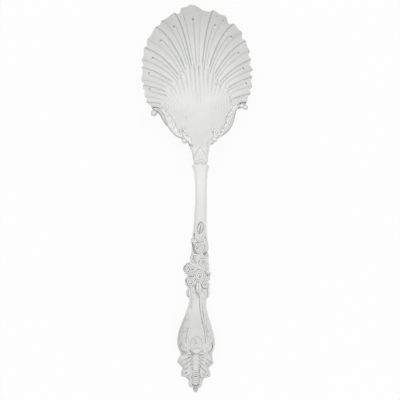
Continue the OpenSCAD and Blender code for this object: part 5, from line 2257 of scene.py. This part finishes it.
@dataclass
class FanEnd:
    """The fan-shaped shell at the end, the scroll under it and the bead at the tip."""

    form: HandleForm
    thickness: float = 4.2
    taper_share: float = 0.3
    scroll_thickness: float = 3.0
    # The bead's half width as a share of its own, along its length
    bead_shape: Pixels = (
        (-0.15, 0.6), (0, 0.75), (0.12, 1.15), (0.3, 1.22), (0.55, 1.06), (0.8, 0.72), (0.94, 0.4),
        (1, 0.03),
    )
    bead_patina: float = 0.35
    bead_rings: int = 26
    bead_around: int = 32
    ground_patina: float = 0.26
    # Half thickness of a plate's edge, as a share of the plate's, and the power that rounds its section
    edge_share: float = 0.08
    roundness: float = 0.75
    rows: int = 220
    scroll_rows: int = 110
    columns: int = 150
    under_columns: int = 25
    shell_edges: Edges = (
        (354.4, 180.6, 212.2), (356.6, 179.6, 212.4), (358.6, 178.3, 212.6), (360.4, 177.3, 212.9),
        (361.9, 176.9, 213.6), (363.2, 177.9, 213.8), (365, 179.4, 212), (366.6, 180.8, 210.2),
        (368, 182.2, 208.7), (369.4, 181.8, 208.9), (371.5, 181.1, 210), (374, 180.8, 210.4),
        (376.2, 181, 210.4), (377.2, 183.8, 209.6), (378.2, 186.2, 205.2),
    )
    scroll_edges: Edges = (
        (378.2, 186.2, 205), (379.4, 187.4, 203.7), (381.2, 188.7, 202.6), (383.2, 188.3, 202.4),
        (385.2, 188.3, 202.1), (387, 189.2, 201.2), (388, 191, 200.2),
    )
    shell_strokes: Strokes = (
        (LOBE, ((192.2, 355.4), (188.2, 356.2), (183.2, 358.6), (177.8, 361.6)), 0.86, 0.3),
        (LOBE, ((192, 358), (188.8, 360), (185, 362.6), (180.6, 366)), 0.8, 0.3),
        (LOBE, ((192, 361.6), (189.6, 363.8), (187, 366.4), (183.6, 369.2)), 0.76, 0.28),
        (LOBE, ((192, 365), (190, 368), (187, 371), (182, 373.4)), 0.78, 0.3),
        (LOBE, ((192.2, 368.2), (190.6, 371.4), (187.6, 374.4), (183, 376.6)), 0.78, 0.3),
        (LOBE, ((192.6, 370.6), (191.8, 374), (190.2, 377), (188.4, 379.4)), 0.7, 0.3),
        (LOBE, ((188, 354.2), (184, 355.6), (179.8, 358.6)), 0.8, 0.3),
        (LOBE, ((200.2, 355.4), (204.2, 356.2), (208.8, 358.6), (213.6, 362.4)), 0.86, 0.32),
        (LOBE, ((200, 357.8), (203.6, 359.4), (207.4, 362.4), (210.8, 365.8)), 0.78, 0.32),
        (LOBE, ((200, 360.8), (202.8, 362.6), (205.6, 365.6), (208.2, 368.6)), 0.74, 0.3),
        (LOBE, ((200, 364.2), (202.4, 366.6), (205.8, 369.2), (210.2, 371.6)), 0.78, 0.32),
        (LOBE, ((199.8, 367.8), (201.6, 370.6), (205, 373.6), (209.6, 376.4)), 0.78, 0.32),
        (LOBE, ((199.6, 370.6), (200.6, 373.4), (202.2, 377), (204.4, 379.2)), 0.7, 0.3),
        (LOBE, ((204, 354.2), (208.2, 355.4), (212.2, 358.6)), 0.8, 0.3),
        (GROOVE, ((190.6, 355.4), (188.6, 358.6), (185.8, 362.4)), 0.3, 0.2),
        (GROOVE, ((191.4, 358), (191.2, 363), (190.8, 369), (190.4, 376)), 0.2, 0.14, 0.3),
        (GROOVE, ((200.6, 358), (200.4, 363), (200.2, 368.6)), 0.18, 0.14, 0.22),
        (RIDGE, ((196.1, 354.6), (196, 362), (195.9, 368), (195.8, 374)), 1.3, 0.24, 0.42),
        (GROOVE, ((195.7, 371.4), (195.6, 384.2)), 1.25, 0.06),
        (DOT, ((186.2, 373.2),), 0.36, 0.24), (DOT, ((181.8, 362.8),), 0.28, 0.16),
        (DOT, ((184.8, 369),), 0.26, 0.16), (DOT, ((205, 373),), 0.4, 0.26),
        (DOT, ((207.2, 375.4),), 0.36, 0.24), (DOT, ((210.2, 362.6),), 0.36, 0.22),
        (DOT, ((208, 366.6),), 0.24, 0.14),
        (GROOVE, ((199.2, 370), (199.6, 374), (200.2, 378)), 0.22, 0.2),
        (GROOVE, ((192.6, 370), (192.2, 374), (191.6, 378)), 0.2, 0.18),
    )
    scroll_strokes: Strokes = (
        (LOBE, ((192, 378), (190.6, 382), (190.2, 385.4), (192.6, 387.4)), 0.8, 0.3),
        (LOBE, ((199.6, 378), (200.8, 382), (200.8, 385), (198.6, 387.4)), 0.8, 0.3),
        (RIDGE, ((195.7, 377.8), (195.7, 381), (195.6, 383.6)), 0.95, 0.25),
        (GROOVE, ((192.4, 384.4), (193.8, 385.6), (195.6, 386.1), (197.4, 385.6),
         (198.8, 384.4)), 0.24, 0.3, 0.5),
        (GROOVE, ((192.9, 384.8), (195.6, 386.2), (198.4, 384.8)), 0.2, 0.1, 0.5),
        (LOBE, ((194.2, 387.2), (195.6, 387.8), (197, 387.2)), 0.4, 0.2),
    )

    def plate(self, edges: Edges, thickness: float, strokes: Strokes, rows: int) -> Patch:
        """Builds one chased plate of the end from its outline.

        Args:
            edges: The outline, in pixels.
            thickness: Thickness at its upper end. It thins towards the tip.
            strokes: The chased relief of its front.
            rows: Rows of points along it.

        Returns:
            The closed plate.
        """
        first, last = (photo((row[1], row[0]))[1] for row in (edges[0], edges[-1]))
        y = np.linspace(first, last, rows)[:, None]
        middle, half = outline(edges, y)
        depth = np.linspace(thickness, thickness * (1 - self.taper_share), rows)[:, None] / 2
        centre = self.form.middle_z(y)
        a, b = (np.linspace(math.pi, 0, count)[None, :] for count in (self.columns, self.under_columns))
        level = centre + depth * (self.edge_share + 0.8 * np.abs(np.sin(a)) ** self.roundness)
        top = np.dstack([middle + half * np.cos(a), y + 0 * a, level])
        ground = np.full(level.shape, self.ground_patina)
        top, patina = Chaser().work(top, strokes, ground, taper(self.columns, 0, 8))
        under = centre - depth * (self.edge_share + 0.92 * np.abs(np.sin(b)) ** self.roundness)
        return sheet(top, np.dstack([middle + half * np.cos(b), y + 0 * b, under]), {"patina": patina})

    def shell(self) -> Patch:
        """Builds the fan-shaped shell."""
        return self.plate(self.shell_edges, self.thickness, self.shell_strokes, self.rows)

    def scroll(self) -> Patch:
        """Builds the bilobed scroll."""
        return self.plate(self.scroll_edges, self.scroll_thickness, self.scroll_strokes, self.scroll_rows)

    def bead(self) -> Patch:
        """Builds the bead at the tip, on its short neck.

        Returns:
            The bead.
        """
        low, high = corners("end_bead")
        centre, size = (low + high) / 2, high[0] - low[0]
        turns = np.linspace(0, 2 * math.pi, self.bead_around, endpoint=False)
        shares = spline(self.bead_shape, self.bead_rings)
        radius = size / 2 * shares[:, 1:]
        x, z = centre[0] + radius * np.cos(turns), centre[2] + radius * np.sin(turns)
        y = np.broadcast_to(high[1] - shares[:, :1] * (high[1] - low[1]), x.shape)
        patina = np.broadcast_to(self.bead_patina + 0.1 * (1 - smooth(shares[:, :1] / 0.2)), x.shape)
        return tube(np.dstack([x, y, z]), {"patina": patina.copy()})


@dataclass
class TongueBars:
    """The short bars across the tongue of the fan, set along it one by one."""

    form: HandleForm
    bars: int = 7
    start: Pair = (195.7, 371.8)
    end: Pair = (195.6, 383.8)
    width: float = 1.9
    thickness: float = 0.36
    lift: float = 0.55
    level: float = 1.35
    # The scroll under the last bars stands so much higher, from this height in the picture
    scroll_step: float = 0.3
    scroll_at: float = 377.6

    def ground(self, places: Array) -> Array:
        """Gives the height of the fan and the scroll under the bars."""
        past = photo((self.start[0], self.scroll_at))[1] - places[:, 1]
        return self.form.middle_z(places[:, 1]) + self.level + self.scroll_step * smooth(past / 0.6)

    def patch(self, material: Material) -> Patch:
        """Builds the bars.

        Args:
            material: Their finish.

        Returns:
            The bars, on the plate.
        """
        shaper = Shaper("tongue_bars", bars=self.bars)
        tree, given = shaper.tree, shaper.given
        first, last = photo((self.start, self.end)) * MM
        links = {"Count": given["bars"], "Start Location": (*first, 0.0), "Offset": (*last, 0.0)}
        line = add(tree, "GeometryNodeMeshLine", links, mode="END_POINTS").outputs[0]
        links = {"Points": line, "Instance": given["Geometry"]}
        row = add(tree, "GeometryNodeInstanceOnPoints", links).outputs[0]
        shaper.finish(row)
        bar = turned(ball(1.0, 18), 0, (self.width, self.thickness * 1.5, self.thickness))
        made = shaper.shape(bar, material)
        made.points[:, 2] += self.ground(made.points[:, :2]) + self.lift
        return made


@dataclass(frozen=True)
class Studio:
    """A white floor under a broad, even tent of light, and the camera straight over the spoon.

    The tent is brightest overhead and to the right, as the photograph's reflections tell.
    """

    lens: float = 500.0
    sensor: float = 36.0
    frame_width: float = 170.0
    aim: Pair = (200.0, 200.0)
    aim_height: float = 6.5
    floor_size: float = 3000.0
    base_strength: float = 0.775
    overhead: float = 0.225
    towards_tip: float = 0.14
    towards_right: float = 0.005
    shade_share: float = 0.12

    def camera(self) -> None:
        """Sets the camera at the photograph's angle and distance."""
        data = bpy.data.cameras.new("camera")
        data.lens, data.sensor_width = self.lens, self.sensor
        camera = bpy.data.objects.new("camera", data)
        distance = self.frame_width * self.lens / self.sensor
        x, y = photo(self.aim)
        camera.location = (x * MM, y * MM, (self.aim_height + distance) * MM)
        bpy.context.scene.collection.objects.link(camera)
        bpy.context.scene.camera = camera

    def tent(self) -> None:
        """Lights the spoon from the world, and shows the camera a plain white."""
        world = bpy.data.worlds.new("tent")
        bpy.context.scene.world = world
        tree = cleared(world)
        way = add(tree, "ShaderNodeTexCoord").outputs["Generated"]
        parts = add(tree, "ShaderNodeSeparateXYZ", {0: way}).outputs
        level: Socket | float = self.base_strength
        for part, gain in zip(parts, (self.towards_right, self.towards_tip, self.overhead)):
            links = {0: part, 1: gain, 2: level}
            level = add(tree, "ShaderNodeMath", links, operation="MULTIPLY_ADD").outputs[0]
        white = (1, 1, 1, 1)
        light = add(tree, "ShaderNodeBackground", {"Color": white, "Strength": level}).outputs[0]
        plain = add(tree, "ShaderNodeBackground", {"Color": white, "Strength": 1.0}).outputs[0]
        seen = add(tree, "ShaderNodeLightPath").outputs["Is Camera Ray"]
        mixed = add(tree, "ShaderNodeMixShader", {0: seen, 1: light, 2: plain}).outputs[0]
        add(tree, "ShaderNodeOutputWorld", {"Surface": mixed})

    def floor(self) -> bpy.types.Object:
        """Makes the floor. It is white to the camera and keeps a part of the spoon's shadow.

        Returns:
            The floor.
        """
        half = self.floor_size / 2 * MM
        mesh = bpy.data.meshes.new("floor")
        square = [(-half, -half, 0), (half, -half, 0), (half, half, 0), (-half, half, 0)]
        mesh.from_pydata(square, [], [(0, 1, 2, 3)])
        floor = bpy.data.objects.new("floor", mesh)
        material = bpy.data.materials.new("white_paper")
        tree = cleared(material)
        paper = add(tree, "ShaderNodeBsdfDiffuse", {"Color": linear("#FAFAFA")}).outputs[0]
        glow = add(tree, "ShaderNodeEmission", {"Strength": 1.0}).outputs[0]
        ray = add(tree, "ShaderNodeLightPath").outputs
        seen = ray["Is Camera Ray"]
        for other in ("Is Glossy Ray", "Is Transmission Ray"):
            seen = add(tree, "ShaderNodeMath", {0: seen, 1: ray[other]}, operation="MAXIMUM").outputs[0]
        links = {0: seen, 1: 1 - self.shade_share}
        share = add(tree, "ShaderNodeMath", links, operation="MULTIPLY").outputs[0]
        mixed = add(tree, "ShaderNodeMixShader", {0: share, 1: paper, 2: glow}).outputs[0]
        add(tree, "ShaderNodeOutputMaterial", {"Surface": mixed})
        mesh.materials.append(material)
        bpy.context.scene.collection.objects.link(floor)
        return floor

    def build(self) -> None:
        """Sets up the camera, the light and the floor."""
        self.camera()
        self.tent()
        self.floor()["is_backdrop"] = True
        bpy.context.scene.view_settings.view_transform = "Standard"


def hand_over(name: str, patch: Patch, material: Material, slot: str, *nodes: str) -> None:
    """Makes a piece, sets it on its body and says what it stands for.

    Args:
        name: Name of the piece.
        patch: Its shape.
        material: Its finish.
        slot: The record's slot that it is finished from. It is not used.
        nodes: The solids that it replaces.
    """
    piece = patch.piece(name, material)
    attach(piece, BODY)
    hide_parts(*nodes)
    stands_for = ", ".join(nodes)
    LOG.info("%s: %d points, %d faces, for %s", name, len(patch.points), len(patch.faces), stands_for)


def main() -> None:
    """Builds the spoon piece by piece, then the studio."""
    logging.basicConfig(level=logging.INFO, format="%(message)s")
    struck = SilverPlate("satin_struck_silver", colour="#ECEDEB").material()
    cast = SilverPlate(
        "satin_cast_silver", "#F1F2F1", satin_size=0.6, satin_depth=0.008, tarnish_share=0.9
    ).material()
    rubbed = SilverPlate("rubbed_silver", colour="#EDEEEC", roughness=0.36, satin_depth=0.005).material()

    dish = DishForm()
    form = HandleForm(dish)
    bowl = ShellBowl(dish)
    rods = Rods(cast)
    whorls = Whorls(cast)
    hand_over("bowl_sheet", bowl.patch(struck), struck, "bowl_sheet", "bowl")
    left = ScrollBorder(Side.LEFT, LEFT_PLAN, bowl, rods, whorls)
    hand_over("left_scroll_border", left.piece(), cast, "castings", "left_border")
    right = ScrollBorder(Side.RIGHT, RIGHT_PLAN, bowl, rods, whorls)
    hand_over("right_scroll_border", right.piece(), cast, "castings", "right_border")

    neck = NeckPieces(form, rods)
    hand_over("neck_and_tang", neck.shank(), struck, "forging", "shank")
    hand_over("neck_leaf", neck.calyx(), struck, "castings", "calyx_leaf")
    hand_over("flared_collar", neck.collar(), rubbed, "handle_shells", "collar")

    shells = HandleShells(form)
    hand_over("chased_front_shell", shells.front(), rubbed, "handle_shells", "front_shell")
    hand_over("plain_back_shell", shells.back(), rubbed, "handle_shells", "back_shell")

    spray = RoseSpray(form, whorls, rods)
    hand_over("roses_and_buds", spray.flowers(), cast, "castings", "rose_blossoms")
    hand_over("rose_leaves", spray.foliage(), cast, "castings", "spray_leaves")

    fan = FanEnd(form)
    bars = TongueBars(form)
    hand_over("fan_shell", Patch.join([fan.shell(), bars.patch(cast)]), cast, "castings", "end_shell")
    hand_over("fan_scroll", fan.scroll(), cast, "castings", "end_scroll")
    hand_over("tip_bead", fan.bead(), cast, "castings", "end_bead")

    cement = HandleCement().material()
    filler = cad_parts["handle_filler"]
    filler.data.materials.clear()
    filler.data.materials.append(cement)
    LOG.info("handle_filler: the solid stays, dressed as cement")
    Studio().build()


if __name__ == "__main__":
    main()
    boxes = {"cad": CAD_BOX, "visual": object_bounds()}
    {name: [list(corner) for corner in box] for name, box in boxes.items()}
